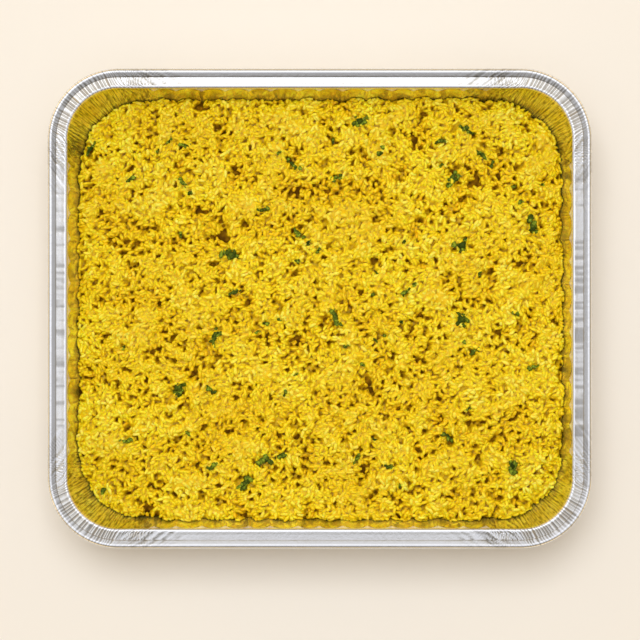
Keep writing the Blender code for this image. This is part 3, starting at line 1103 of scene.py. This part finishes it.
class GrainShape:
    """One grain of cooked rice, a few dozen faces, in units of its half length and radius."""

    def __init__(self, sides: int = 6, bands: int = 4) -> None:
        """Models the grain along X.

        Args:
            sides: faces round it.
            bands: faces from tip to tip.
        """
        shape = bmesh.new()
        bmesh.ops.create_uvsphere(shape, u_segments=sides, v_segments=bands, radius=1.0)
        turn = Matrix.Rotation(math.pi / 2, 3, "Y")
        bmesh.ops.rotate(shape, cent=(0, 0, 0), matrix=turn, verts=shape.verts)
        for vert in shape.verts:
            across = math.hypot(vert.co.y, vert.co.z)
            if across > 1e-6:
                full = across**0.55 / across
                vert.co.y *= full
                vert.co.z *= full
        bmesh.ops.triangulate(shape, faces=shape.faces)
        bmesh.ops.recalc_face_normals(shape, faces=shape.faces)
        self.points = np.array([vert.co for vert in shape.verts])
        self.faces = np.array([[vert.index for vert in face.verts] for face in shape.faces])
        shape.free()


@dataclass
class Grain:
    """One grain where it came to lie.

    Attributes:
        x, y, z: its middle.
        turn: its direction in plan.
        rise: its slope along that direction.
        half: half its length.
        radius: its half thickness.
        bow: how far its middle stands out of line.
    """

    x: float
    y: float
    z: float
    turn: float
    rise: float
    half: float
    radius: float
    bow: float


class HeightMap:
    """The top of what lies in the tray so far, on a fine grid."""

    CELL = 0.00044
    MOST_OPEN = 0.03

    def __init__(self, form: TrayForm, level: "RiceLevel", depth: float) -> None:
        """Starts at the bed.

        Args:
            form: the tray's sizes.
            level: the heap's smooth top.
            depth: how far the bed lies under it.
        """
        self.count_x = int(2 * form.half_length / self.CELL)
        self.count_y = int(2 * form.half_width / self.CELL)
        self.low_x = -self.count_x * self.CELL / 2
        self.low_y = -self.count_y * self.CELL / 2
        xs = self.low_x + self.CELL * (np.arange(self.count_x) + 0.5)
        ys = self.low_y + self.CELL * (np.arange(self.count_y) + 0.5)
        self.x, self.y = np.meshgrid(xs, ys)
        self.clump = noise_field(xs, ys, level.clump_size, 17.0)
        self.clump += 0.7 * noise_field(xs, ys, 2.7 * level.clump_size, 23.0)
        self.target = level.smooth(self.x, self.y) + level.clump * self.clump
        self.room = form.room(self.x, self.y, self.target)
        self.inside = self.room > 0.0
        self.open = np.zeros(self.x.shape)
        self.top = self.target - depth

    @staticmethod
    def blur(values: np.ndarray, cells: int) -> np.ndarray:
        """Averages values over a square of cells, twice, which is nearly a round blur.

        Args:
            values: one number for each cell.
            cells: how far the square reaches.

        Returns:
            The averages.
        """
        shifts = range(-cells, cells + 1)
        for axis in (0, 1, 0, 1):
            values = sum(np.roll(values, shift, axis) for shift in shifts) / len(shifts)
        return values

    def window(self, x: float, y: float, reach: float) -> tuple[slice, slice]:
        """The cells within reach of a place."""
        cells = int(reach / self.CELL) + 1
        line, column = self.cell(x, y)
        return slice(line - cells, line + cells + 1), slice(column - cells, column + cells + 1)

    def turned_window(
        self, x: float, y: float, turn: float, reach: float
    ) -> tuple[tuple[slice, slice], np.ndarray, np.ndarray]:
        """The cells within reach of a place, measured along a direction.

        Args:
            x: the place along the tray.
            y: the place across it.
            turn: the direction, in radians.
            reach: how far the cells lie at most.

        Returns:
            The cells, and how far each lies along the direction and across it.
        """
        cells = self.window(x, y, reach)
        dx, dy = self.x[cells] - x, self.y[cells] - y
        along = dx * math.cos(turn) + dy * math.sin(turn)
        return cells, along, dy * math.cos(turn) - dx * math.sin(turn)

    def cell(self, x: float, y: float) -> tuple[int, int]:
        """The cell at a place."""
        return int((y - self.low_y) / self.CELL), int((x - self.low_x) / self.CELL)

    def settle(self, grain: Grain, sink: float, steepest: float) -> bool:
        """Lays a grain on what is there, tilted as its supports hold it.

        Args:
            grain: the grain, whose z is filled in and whose rise is added to its supports'.
            sink: how far it presses in.
            steepest: its largest slope.

        Returns:
            True if it lies inside the tray and covers hardly any of the holes.
        """
        cells, along, across = self.turned_window(grain.x, grain.y, grain.turn, grain.half)
        top = self.top[cells]
        share = 1 - (along / grain.half) ** 2
        limit = grain.radius * np.maximum(share, 0) ** 0.3
        under = (np.abs(across) < limit) & (share > 0)
        if not under.any() or not self.inside[cells][under].all():
            return False
        if self.open[cells][under].mean() > self.MOST_OPEN:
            return False
        thick = np.sqrt(np.maximum(limit[under] ** 2 - across[under] ** 2, 0))
        along = along[under]
        need = top[under] + thick
        front, rear = along > 0, along <= 0
        rise = 0.0
        if front.any() and rear.any():
            first = np.argmax(np.where(front, need, -1))
            second = np.argmax(np.where(rear, need, -1))
            span = along[first] - along[second]
            if span > 0.3 * grain.half:
                rise = (need[first] - need[second]) / span
        rise = max(-steepest, min(steepest, rise + grain.rise))
        grain.rise = rise
        grain.z = float(np.quantile(need - rise * along, 0.75)) - sink
        raised = grain.z + rise * along + thick
        self.top[cells][under] = np.maximum(top[under], raised)
        return True


@dataclass
class RiceLevel:
    """The heap's smooth top, the same as its solid's: uneven, and lower at the walls."""

    form: TrayForm
    drop: float = 0.0170
    rise_right: float = 0.0012
    rise_front: float = 0.0018
    swell: float = 0.0011
    edge_sag: float = 0.0015
    edge_reach: float = 0.006
    corner_sag: float = 0.0055
    corner_reach: float = 0.050
    clump: float = 0.0014
    clump_size: float = 0.011

    def smooth(self, x: np.ndarray, y: np.ndarray) -> np.ndarray:
        """Height of the smooth top.

        Args:
            x: places along the tray.
            y: places across it.

        Returns:
            The heights.
        """
        form = self.form
        level = form.height - self.drop
        if x.ndim == 2:
            wide = noise_field(x[0], y[:, 0], 0.060, 0.3)
            wide = wide + 0.5 * noise_field(x[0], y[:, 0], 0.024, 4.1)
        else:
            wide = noise_at(x / 0.060, y / 0.060, 0.3) + 0.5 * noise_at(x / 0.024, y / 0.024, 4.1)
        room = np.maximum(form.plain_room(x, y, level)[0], 0)
        inset, reach = form.wall_inset(level), self.corner_reach
        into_x = np.maximum(np.abs(x) - (form.half_length - inset - reach), 0) / reach
        into_y = np.maximum(np.abs(y) - (form.half_width - inset - reach), 0) / reach
        lean = self.rise_right * x / form.half_length - self.rise_front * y / form.half_width
        sag = self.edge_sag * np.exp(-room / self.edge_reach) + self.corner_sag * into_x * into_y
        return level + lean + self.swell * wide - sag


@dataclass
class RiceHeap:
    """The rice: a bed painted dark as shade, and grains in several tones laid over it one by one."""

    TONE = "tone"
    # Painted shade of the pits and hollows.
    OPEN = "open"

    form: TrayForm
    level: RiceLevel
    start_depth: float = 0.0030
    bed_depth: float = 0.0046
    bed_reach: float = 0.0052
    half_length: float = 0.0020
    half_length_spread: float = 0.0007
    radius: float = 0.00099
    radius_spread: float = 0.00016
    rough: float = 0.08
    bow: float = 0.00045
    sink: float = 0.00050
    steepest: float = 0.7
    tilt_spread: float = 0.20
    round_size: int = 400
    full: float = 0.0010
    hole_tries: int = 7600
    hole_share: float = 0.42
    hole_rarity: float = 2.6
    hole_smallest: float = 0.00028
    hole_largest: float = 0.00069
    pit_depth: float = 0.0031
    mash_sink: float = 0.00050
    mash_swell: float = 0.0008
    mash_edge: float = 0.0012
    cavity: float = 0.0012
    wall_gap: float = 0.0003
    swirl_size: float = 0.030
    turn_spread: float = 0.80
    seed: int = 5
    map: HeightMap = field(init=False)
    dice: random.Random = field(init=False)
    grains: list[Grain] = field(default_factory=list)

    def __post_init__(self) -> None:
        """Makes the height map and the seeded dice."""
        self.map = HeightMap(self.form, self.level, self.start_depth)
        self.dice = random.Random(self.seed)
        self.open_holes()

    def open_holes(self) -> None:
        """Marks small holes that no grain may cover, more of them between the clumps."""
        dice, form, field_map = self.dice, self.form, self.map
        opened = 0
        for _ in range(self.hole_tries):
            x = dice.uniform(-form.half_length, form.half_length) * 0.91
            y = dice.uniform(-form.half_width, form.half_width) * 0.91
            if dice.random() > self.hole_share - field_map.clump[field_map.cell(x, y)]:
                continue
            share = dice.random() ** self.hole_rarity
            breadth = self.hole_smallest + (self.hole_largest - self.hole_smallest) * share
            length = breadth * dice.uniform(1.0, 1.8)
            turn = dice.uniform(0, math.pi)
            cells, along, across = field_map.turned_window(x, y, turn, length)
            near = (along / length) ** 2 + (across / breadth) ** 2 < 1
            field_map.open[cells][near] = 1.0
            opened += 1
        LOG.info("%d holes", opened)

    def swirl(self, x: float, y: float) -> float:
        """Direction that grains near a place tend to lie in."""
        place = Vector((x / self.swirl_size, y / self.swirl_size, 9.0))
        return math.pi * (noise.noise(place) + 0.5 * noise.noise(place * 2.1)) * 1.4

    def drop_grain(self, x: float, y: float, keep_off: list[tuple[float, float, float]]) -> bool:
        """Lays one grain at a place.

        Args:
            x: its place along the tray.
            y: its place across it.
            keep_off: circles (x, y, radius) where a grain mostly doesn't come.

        Returns:
            True if it found room there.
        """
        dice = self.dice
        cell = self.map.cell(x, y)
        if self.map.target[cell] - self.map.top[cell] < self.full:
            return False
        for leaf_x, leaf_y, reach in keep_off:
            if math.hypot(x - leaf_x, y - leaf_y) < reach and dice.random() < 0.9:
                return False
        turn = self.swirl(x, y) + dice.gauss(0, self.turn_spread)
        half = self.half_length + dice.uniform(-1, 1) * self.half_length_spread
        radius = self.radius + dice.uniform(-1, 1) * self.radius_spread
        bow = dice.uniform(-self.bow, self.bow)
        for attempt in range(4):
            rise = dice.gauss(0, self.tilt_spread)
            grain = Grain(x, y, 0.0, turn + attempt * math.pi / 4, rise, half, radius, bow)
            if self.map.settle(grain, self.sink, self.steepest):
                self.grains.append(grain)
                return True
        return False

    def fill(self, most: int, keep_off: list[tuple[float, float, float]]) -> None:
        """Lays grains wherever the heap is still too low.

        Args:
            most: stops at this number of grains.
            keep_off: circles (x, y, radius) where a grain mostly doesn't come.
        """
        field_map = self.map
        laid = self.round_size
        while len(self.grains) < most and laid > self.round_size * 0.04:
            gap = field_map.target - field_map.top
            low = np.argwhere((gap > self.full) & field_map.inside & (field_map.open < 0.5))
            picks = self.dice.sample(range(len(low)), min(self.round_size, len(low)))
            before = len(self.grains)
            for pick in picks:
                line, column = low[pick]
                self.drop_grain(field_map.x[line, column], field_map.y[line, column], keep_off)
            laid = len(self.grains) - before
        gap = (field_map.target - field_map.top)[field_map.inside]
        shares = np.quantile(gap, (0.02, 0.25, 0.5, 0.75, 0.98))
        LOG.info("%d grains, top below the level by %s mm", len(self.grains), (shares * 1000).round(2))

    def from_low_to_high(self) -> list[Grain]:
        """The grains, roughly from those in the dips to those on the clumps, so that the darker tones can
        go low as painted shade and the paler high as painted light.
        """
        field_map = self.map
        rank = []
        for grain in self.grains:
            cell = field_map.cell(grain.x, grain.y)
            above = (grain.z - field_map.target[cell]) / 0.001
            rank.append(above + 2.5 * field_map.clump[cell] + self.dice.gauss(0, 0.9))
        return [self.grains[place] for place in np.argsort(rank)]

    def mash(self, finish: "GrainFinish") -> bpy.types.Object:
        """The soft rice that fills the space between the grains, sunk in at the holes and painted darker
        there and in its hollows as shade.

        Args:
            finish: its finish.

        Returns:
            The surface.
        """
        field_map = self.map
        pit = np.minimum(1.5 * field_map.blur(field_map.open, 1), 1.0)
        high = field_map.blur(field_map.top, 2) - self.mash_sink
        high += self.mash_swell * field_map.clump - self.pit_depth * pit
        high -= self.mash_edge * np.exp(-np.maximum(field_map.room, 0) / self.mash_edge)
        every = (slice(None, None, 2), slice(None, None, 2))
        points = np.stack([field_map.x[every], field_map.y[every], high[every]], axis=-1)
        inside = field_map.room[every] > 0.0004
        index = np.arange(inside.size).reshape(inside.shape)
        sides = ((slice(None, -1), slice(None, -1)), (slice(None, -1), slice(1, None)))
        sides += ((slice(1, None), slice(1, None)), (slice(1, None), slice(None, -1)))
        kept = np.logical_and.reduce([inside[corner] for corner in sides])
        faces = np.stack([index[corner][kept] for corner in sides], axis=-1)
        used, faces = np.unique(faces, return_inverse=True)
        # Painted shade: darker in the pits and where the top lies below its neighbours.
        cavity = (field_map.blur(field_map.top, 4) - field_map.top) / self.cavity
        pit_shade = np.clip(1.2 * pit + 0.35 * cavity, 0, 1)
        attributes = {self.TONE: np.full(len(used), 0.4), self.OPEN: pit_shade[every].ravel()[used]}
        points = self.form.keep_in(points.reshape(-1, 3)[used], self.wall_gap)
        return array_object("soft_rice", points, faces.reshape(-1, 4), finish.material(), **attributes)

    def bed(self, rice: bpy.types.Object, finish: BedFinish) -> bpy.types.Object:
        """The bed: the heap's solid with its top lowered.

        Args:
            rice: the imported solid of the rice.
            finish: the bed's finish.

        Returns:
            The bed.
        """
        shape = bmesh.new()
        shape.from_mesh(rice.data)
        bmesh.ops.remove_doubles(shape, verts=shape.verts, dist=1e-6)
        places = np.array([vert.co for vert in shape.verts])
        smooth = self.level.smooth(places[:, 0], places[:, 1])
        for vert, level in zip(shape.verts, smooth):
            if vert.co.z > level - self.bed_reach:
                vert.co.z = level - self.bed_depth
        places = self.form.keep_in(np.array([vert.co for vert in shape.verts]), self.wall_gap)
        for vert, place in zip(shape.verts, places):
            vert.co = place
        # The bed's finish is painted shade.
        return new_object("rice_bed", shape, finish.material())

    def grain_mesh(self, name: str, grains: list[Grain], finish: GrainFinish) -> bpy.types.Object:
        """Joins grains of one kind into a mesh.

        Args:
            name: the piece's name.
            grains: where they lie.
            finish: their finish.

        Returns:
            The piece.
        """
        unit = GrainShape()
        state = np.array([(g.x, g.y, g.z, g.turn, g.rise, g.half, g.radius, g.bow) for g in grains])
        x, y, z, turn, rise, half, radius, bow = state.T[:, :, None]
        along, side, up = unit.points[:, 0], unit.points[:, 1], unit.points[:, 2]
        level = 1 / np.sqrt(1 + rise**2)
        axial = along * half
        lateral = side * radius + bow * (0.5 - along**2)
        upward = up * radius
        plan = axial * level - upward * rise * level
        high = axial * rise * level + upward * level
        px = x + plan * np.cos(turn) - lateral * np.sin(turn)
        py = y + plan * np.sin(turn) + lateral * np.cos(turn)
        pz = z + high
        points = np.stack([px, py, pz], axis=2)
        points += np.random.default_rng(self.seed).normal(0, self.rough * self.radius, points.shape)
        points = self.form.keep_in(points.reshape(-1, 3), self.wall_gap)
        offsets = np.arange(len(grains))[:, None, None] * len(unit.points)
        faces = (unit.faces[None] + offsets).reshape(-1, 3)
        dice = random.Random(len(grains))
        tones = np.repeat([dice.random() for _ in grains], len(unit.points))
        return array_object(name, points, faces, finish.material(), **{self.TONE: tones})


@dataclass
class Parsley:
    """Chopped parsley: larger leaves that stand for their solids, and small flakes."""

    TONE = "tone"

    heap: RiceHeap
    seed: int = 21
    leaf_thickness: float = 0.00022
    dome: float = 0.24
    core: float = 0.60
    leaf_bit: float = 0.0032
    flake_bit: float = 0.0028
    crumb_bit: float = 0.0023
    flakes: tuple[tuple[float, float, float, float], ...] = (
        (-0.024, -0.089, 0.0050, 15),
        (0.010, 0.079, 0.0046, 20),
        (-0.015, 0.086, 0.0060, -35),
        (0.052, 0.010, 0.0050, 42),
        (-0.117, -0.080, 0.0055, 0),
        (0.041, -0.095, 0.0045, -20),
        (-0.066, -0.049, 0.0048, -33),
        (-0.082, 0.099, 0.0052, -10),
        (0.077, -0.077, 0.0055, -37),
        (0.098, 0.093, 0.0048, -34),
        (0.090, 0.107, 0.0060, -32),
        (-0.034, 0.060, 0.0050, -5),
        (0.022, -0.090, 0.0045, 67),
        (-0.013, 0.046, 0.0060, -46),
        (0.073, 0.101, 0.0045, 20),
        (-0.083, 0.076, 0.0042, -54),
        (0.037, 0.095, 0.0042, 56),
        (-0.051, 0.010, 0.0055, 33),
        (-0.065, -0.095, 0.0050, 44),
        (-0.114, 0.078, 0.0040, 20),
        (0.093, -0.026, 0.0045, 35),
        (0.129, -0.035, 0.0040, 18),
        (-0.1385, 0.0975, 0.0070, 62),
    )

    crumbs: tuple[tuple[float, float, float], ...] = (
        (-0.131, -0.110, 0.0060),
        (-0.025, 0.094, 0.0032),
        (-0.019, 0.090, 0.0036),
        (-0.007, 0.040, 0.0040),
        (-0.001, 0.035, 0.0028),
        (-0.013, 0.029, 0.0024),
        (0.057, 0.015, 0.0036),
        (0.051, 0.040, 0.0026),
        (0.034, 0.022, 0.0024),
        (0.032, 0.008, 0.0028),
        (0.096, 0.021, 0.0024),
        (0.118, -0.003, 0.0024),
        (0.073, 0.086, 0.0026),
        (0.086, 0.109, 0.0034),
        (0.104, 0.087, 0.0026),
        (0.117, 0.074, 0.0030),
        (0.134, 0.075, 0.0034),
        (0.121, 0.065, 0.0036),
        (0.128, 0.056, 0.0038),
        (0.087, -0.020, 0.0026),
        (-0.091, 0.101, 0.0032),
        (-0.098, 0.095, 0.0028),
        (-0.078, 0.070, 0.0032),
        (-0.084, 0.045, 0.0024),
        (-0.033, -0.009, 0.0028),
        (-0.025, -0.007, 0.0024),
        (-0.038, -0.014, 0.0024),
        (0.014, -0.016, 0.0028),
        (0.016, -0.023, 0.0032),
        (0.039, -0.016, 0.0026),
        (0.034, -0.019, 0.0024),
        (0.049, -0.008, 0.0036),
        (-0.021, -0.051, 0.0026),
        (-0.014, -0.040, 0.0024),
        (0.026, -0.034, 0.0026),
        (-0.080, -0.075, 0.0030),
        (0.033, -0.079, 0.0026),
        (0.090, -0.060, 0.0028),
        (0.048, -0.107, 0.0024),
        (0.008, 0.101, 0.0030),
        (-0.118, -0.023, 0.0026),
    )

    def surface(self, x: float, y: float, reach: float) -> float:
        """Height that a small leaf would lie at."""
        rows, cols = self.heap.map.window(x, y, reach)
        return float(np.quantile(self.heap.map.top[rows, cols], 0.7))

    def scrap(
        self,
        shape: bmesh.types.BMesh,
        place: tuple[float, float, float],
        size: tuple[float, float],
        turn: float,
        light: float,
    ) -> None:
        """Adds one domed and ruffled scrap of leaf.

        Args:
            shape: the bmesh that it joins.
            place: its middle.
            size: its length and breadth.
            turn: its direction, in radians.
            light: how light a green its middle is, 0 to 1, chosen at random; the tone falls from it
                towards the edges as painted shade.
        """
        tone = shape.verts.layers.float.get(self.TONE) or shape.verts.layers.float.new(self.TONE)
        x, y, z = place
        dice = random.Random(self.seed + round(x * 1e5) * 31 + round(y * 1e5))
        made = bmesh.ops.create_grid(shape, x_segments=6, y_segments=4, size=1.0)
        phase = dice.uniform(0, 10)
        slant = dice.uniform(-0.7, 0.7)
        for vert in made["verts"]:
            u, v = vert.co.x, vert.co.y
            u, v = u * math.sqrt(1 - v * v / 2), v * math.sqrt(1 - u * u / 2)
            edge = math.hypot(u, v)
            angle = math.atan2(v, u)
            lobes = 1 + edge * (0.15 * math.sin(3 * angle + phase) + 0.10 * math.sin(5 * angle + phase))
            px, py = u * lobes * size[0] / 2, v * lobes * size[1] / 2
            ruffle = 0.07 * edge * edge * math.sin(5 * angle + phase * 2)
            ruffle += 0.10 * noise.noise(Vector((px * 700, py * 700, phase)))
            vert.co.x = x + px * math.cos(turn) - py * math.sin(turn)
            vert.co.y = y + px * math.sin(turn) + py * math.cos(turn)
            vert.co.z = z + slant * px + size[1] * (ruffle + self.dome * (1 - edge * edge))
            # Painted light and shade: the tone falls from the domed middle towards the edges.
            vert[tone] = light * (1 - 0.8 * edge * edge)

    def lump(
        self,
        shape: bmesh.types.BMesh,
        place: tuple[float, float],
        size: tuple[float, float],
        turn: float,
        bits: int,
        bit: float,
    ) -> None:
        """Adds a chopped leaf: a dark middle and broken bits spread over and round it.

        Args:
            shape: the bmesh that it joins.
            place: its middle.
            size: its length and breadth.
            turn: its direction, in radians.
            bits: how many bits there are.
            bit: their usual size.
        """
        x, y = place
        length, breadth = size
        dice = random.Random(self.seed + round(x * 1e4) * 17 + round(y * 1e4))
        base = self.surface(x, y, breadth / 2)
        middle = (length * self.core, breadth * self.core)
        self.scrap(shape, (x, y, base + 0.0003), middle, turn, dice.uniform(0.0, 0.4))
        for number in range(bits):
            along = ((number + dice.random()) / bits - 0.5) * length
            across = dice.uniform(-0.40, 0.40) * breadth
            bit_x = x + along * math.cos(turn) - across * math.sin(turn)
            bit_y = y + along * math.sin(turn) + across * math.cos(turn)
            long_way = bit * dice.uniform(0.7, 1.3)
            high = self.surface(bit_x, bit_y, bit / 2) + dice.uniform(0.0003, 0.0010)
            bit_size = (long_way, long_way * dice.uniform(0.45, 0.9))
            lean = turn + dice.uniform(-1.2, 1.2)
            self.scrap(shape, (bit_x, bit_y, high), bit_size, lean, dice.uniform(0.1, 1.2))

    def thicken(self, obj: bpy.types.Object) -> None:
        """Gives the leaf its thickness and rounds its outline."""
        solid = obj.modifiers.new("leaf", "SOLIDIFY")
        solid.thickness = self.leaf_thickness
        solid.offset = 0.0
        round_off = obj.modifiers.new("round", "SUBSURF")
        round_off.levels = 1
        round_off.render_levels = 1

    def leaves(self, solids: list[bpy.types.Object], finish: ParsleyFinish) -> list[bpy.types.Object]:
        """The larger leaves, each lying as its solid does.

        Args:
            solids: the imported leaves.
            finish: their finish.

        Returns:
            The leaves.
        """
        made = []
        material = finish.material()
        for number, solid in enumerate(solids, start=1):
            flat = np.array([vert.co[:2] for vert in solid.data.vertices])
            _, axes = np.linalg.eigh(np.cov(flat.T))
            turned = flat @ axes
            low, high = turned.min(axis=0), turned.max(axis=0)
            x, y = axes @ ((low + high) / 2)
            breadth, length = high - low
            turn = math.atan2(axes[1, 1], axes[0, 1])
            shape = bmesh.new()
            self.lump(shape, (x, y), (length, breadth), turn, 12, self.leaf_bit)
            obj = new_object(f"leaf_{number:02d}", shape, material)
            self.thicken(obj)
            made.append(obj)
        return made

    def small_flakes(self, finish: ParsleyFinish) -> bpy.types.Object:
        """The small flakes and crumbs, joined."""
        shape = bmesh.new()
        for x, y, length, turn in self.flakes:
            size = (length * 1.45, length * 0.5)
            self.lump(shape, (x, y), size, math.radians(turn), 5, self.flake_bit)
        for x, y, length in self.crumbs:
            size = (length * 1.2, length * 0.8)
            self.lump(shape, (x, y), size, 700 * x + 300 * y, 2, self.crumb_bit)
        obj = new_object("parsley_flakes", shape, finish.material())
        self.thicken(obj)
        return obj


@dataclass
class Studio:
    """The ground, the softbox, the sky light and the camera straight above."""

    form: TrayForm
    distance: float = 1.25
    sensor: float = 36.0
    ground_size: float = 10.0
    box_place: tuple[float, float, float] = (-0.12, 0.58, 2.20)
    box_size: tuple[float, float] = (1.10, 1.10)
    box_watts: float = 23.6
    box_tint: Colour = (1.0, 0.985, 0.96)
    sky_side: tuple[float, float, float] = (-0.12, 0.06, 0.0)
    diagonal: float = 3.4
    sideways: float = 0.3
    glow_side: tuple[float, float, float] = (-0.05, 0.30, 0.95)
    glow_angles: tuple[float, float] = (28.0, 6.0)
    glow: float = 0.75
    front_shade: float = 0.58
    shade_from: tuple[float, float] = (0.42, 0.60)
    shade_to: tuple[float, float] = (0.70, 0.86)
    sky_stops: tuple[tuple[float, Colour], ...] = (
        (0.0, (0.80, 0.56, 0.21)),
        (0.30, (0.40, 0.295, 0.16)),
        (0.70, (0.33, 0.29, 0.235)),
        (0.83, (0.535, 0.50, 0.43)),
        (0.91, (0.77, 0.77, 0.785)),
    )

    def ground(self, finish: FloorFinish) -> None:
        """Lays the ground that the tray stands on."""
        shape = bmesh.new()
        bmesh.ops.create_grid(shape, x_segments=1, y_segments=1, size=self.ground_size / 2)
        obj = new_object("ground", shape, finish.material())

    @staticmethod
    def facing(nodes: Nodes, place: bpy.types.NodeSocket, side: Vector) -> bpy.types.NodeSocket:
        """How far a direction of the sky faces a side."""
        made = nodes.add("VectorMath", operation="DOT_PRODUCT")
        nodes.join(place, made.inputs[0])
        nodes.join(side, made.inputs[1])
        return made.outputs["Value"]

    def softbox(self) -> None:
        """Hangs one large softbox behind and above the tray."""
        light = bpy.data.lights.new("softbox", "AREA")
        light.shape = "RECTANGLE"
        light.size, light.size_y = self.box_size
        light.energy = self.box_watts
        light.color = self.box_tint
        obj = bpy.data.objects.new("softbox", light)
        obj.location = self.box_place
        aim = Vector((0, 0, 0)) - Vector(self.box_place)
        obj.rotation_euler = aim.to_track_quat("-Z", "Y").to_euler()
        obj.visible_glossy = False
        bpy.context.scene.collection.objects.link(obj)

    def sky(self) -> None:
        """Sets the even light of the room: brighter above and diagonally, dimmer in front."""
        nodes = Nodes(bpy.data.worlds.new("room"))
        place = nodes.add("TexCoord").outputs["Generated"]
        axes = nodes.add("SeparateXYZ", Vector=place).outputs
        glow = self.facing(nodes, place, Vector(self.glow_side).normalized())
        edges = tuple(math.cos(math.radians(angle)) for angle in self.glow_angles)
        glow = nodes.spread(glow, edges, (1.0, 1.0 + self.glow), "SMOOTHSTEP")
        lit = nodes.math("ADD", self.facing(nodes, place, Vector(self.sky_side)), glow)
        forward = self.facing(nodes, place, Vector((0.0, -1.0, 0.0)))
        darker = (1.0, 1.0 - self.front_shade)
        shaded = nodes.spread(forward, self.shade_from, darker, "SMOOTHSTEP")
        restored = nodes.spread(forward, self.shade_to, (0.0, self.front_shade), "SMOOTHSTEP")
        lit = nodes.math("MULTIPLY", lit, nodes.math("ADD", shaded, restored))
        corners = nodes.math("ABSOLUTE", nodes.math("MULTIPLY", axes["X"], axes["Y"]))
        corners = nodes.math("MULTIPLY_ADD", corners, self.diagonal, 1.0)
        sides = nodes.math("MULTIPLY", axes["X"], axes["X"])
        around = nodes.math("MULTIPLY_ADD", sides, self.sideways, corners)
        strength = nodes.math("MULTIPLY", lit, around)
        colour = nodes.ramp(axes["Z"], self.sky_stops)
        nodes.feed(nodes.tree.nodes["Background"], Color=colour, Strength=strength)
        bpy.context.scene.world = nodes.owner
        bpy.context.scene.view_settings.view_transform = "Standard"

    def camera(self) -> None:
        """Places the camera straight above, framed as the photo is."""
        per_pixel = 2 * self.form.half_length / RIM_WIDTH_PX
        middle = PHOTO_WIDTH_PX / 2
        data = bpy.data.cameras.new("camera")
        data.sensor_width = self.sensor
        data.lens = self.sensor * self.distance / (PHOTO_WIDTH_PX * per_pixel)
        data.clip_start, data.clip_end = 0.05, 10.0
        obj = bpy.data.objects.new("camera", data)
        obj.location = (
            (middle - TRAY_CENTRE_PX[0]) * per_pixel,
            -(middle - TRAY_CENTRE_PX[1]) * per_pixel,
            self.form.height + self.distance,
        )
        bpy.context.scene.collection.objects.link(obj)
        bpy.context.scene.camera = obj


# Darkest to palest, given out from the lowest grains to the highest: painted shade in the dips, painted
# light on the clumps.
GRAIN_KINDS = (
    (GrainFinish("amber_grain", (0.78, 0.48, 0.004), (0.84, 0.55, 0.006)), 0.12),
    (GrainFinish("golden_grain", (0.86, 0.59, 0.006), (0.90, 0.66, 0.010)), 0.26),
    (GrainFinish("yellow_grain", (0.88, 0.64, 0.008), (0.92, 0.71, 0.014)), 0.28),
    (GrainFinish("lemon_grain", (0.91, 0.70, 0.014), (0.95, 0.77, 0.035)), 0.24),
    (GrainFinish("pale_grain", (0.95, 0.78, 0.050), (0.98, 0.86, 0.120)), 0.10),
)
SOFT_RICE = GrainFinish("soft_rice", (0.84, 0.56, 0.005), (0.88, 0.62, 0.008))


def main() -> None:
    """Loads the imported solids, dresses them and sets the studio."""
    logging.basicConfig(level=logging.INFO, format="%(name)s: %(message)s")
    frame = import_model()
    low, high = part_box(TRAY_NODE)
    form = TrayForm((high.x - low.x) / 2, (high.y - low.y) / 2, high.z)
    tray = FoilTray(form).build(FoilFinish())
    place_piece(tray, Slot.FOIL, TRAY_NODE)
    heap = RiceHeap(form, RiceLevel(form))
    heap.fill(GRAINS_UNDER_LEAVES, [])
    parsley = Parsley(heap)
    solids = [frame["nodes"][LEAF_NODE.format(number)] for number in range(1, LEAF_COUNT + 1)]
    for number, leaf in enumerate(parsley.leaves(solids, ParsleyFinish()), start=1):
        place_piece(leaf, Slot.PARSLEY, LEAF_NODE.format(number))
    place_piece(parsley.small_flakes(ParsleyFinish("parsley_flake")), Slot.PARSLEY)
    keep_off = [(x, y, length * 0.5) for x, y, length, _ in parsley.flakes]
    keep_off += [(x, y, size * 0.5) for x, y, size in parsley.crumbs]
    for number in range(1, LEAF_COUNT + 1):
        low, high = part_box(LEAF_NODE.format(number))
        keep_off.append(((low.x + high.x) / 2, (low.y + high.y) / 2, 0.0042))
    heap.fill(GRAINS_IN_ALL, keep_off)
    bed = heap.bed(frame["nodes"][RICE_NODE], BedFinish())
    place_piece(bed, Slot.RICE, RICE_NODE)
    place_piece(heap.mash(SOFT_RICE), Slot.RICE)
    grains = heap.from_low_to_high()
    start = 0
    # Painted shade and light: the darker kinds go to the lower grains.
    for finish, share in GRAIN_KINDS:
        end = start + math.ceil(share * len(grains))
        place_piece(heap.grain_mesh(finish.name + "s", grains[start:end], finish), Slot.RICE)
        start = end
    studio = Studio(form)
    studio.ground(FloorFinish())
    studio.softbox()
    studio.sky()
    studio.camera()


if __name__ == "__main__":
    main()
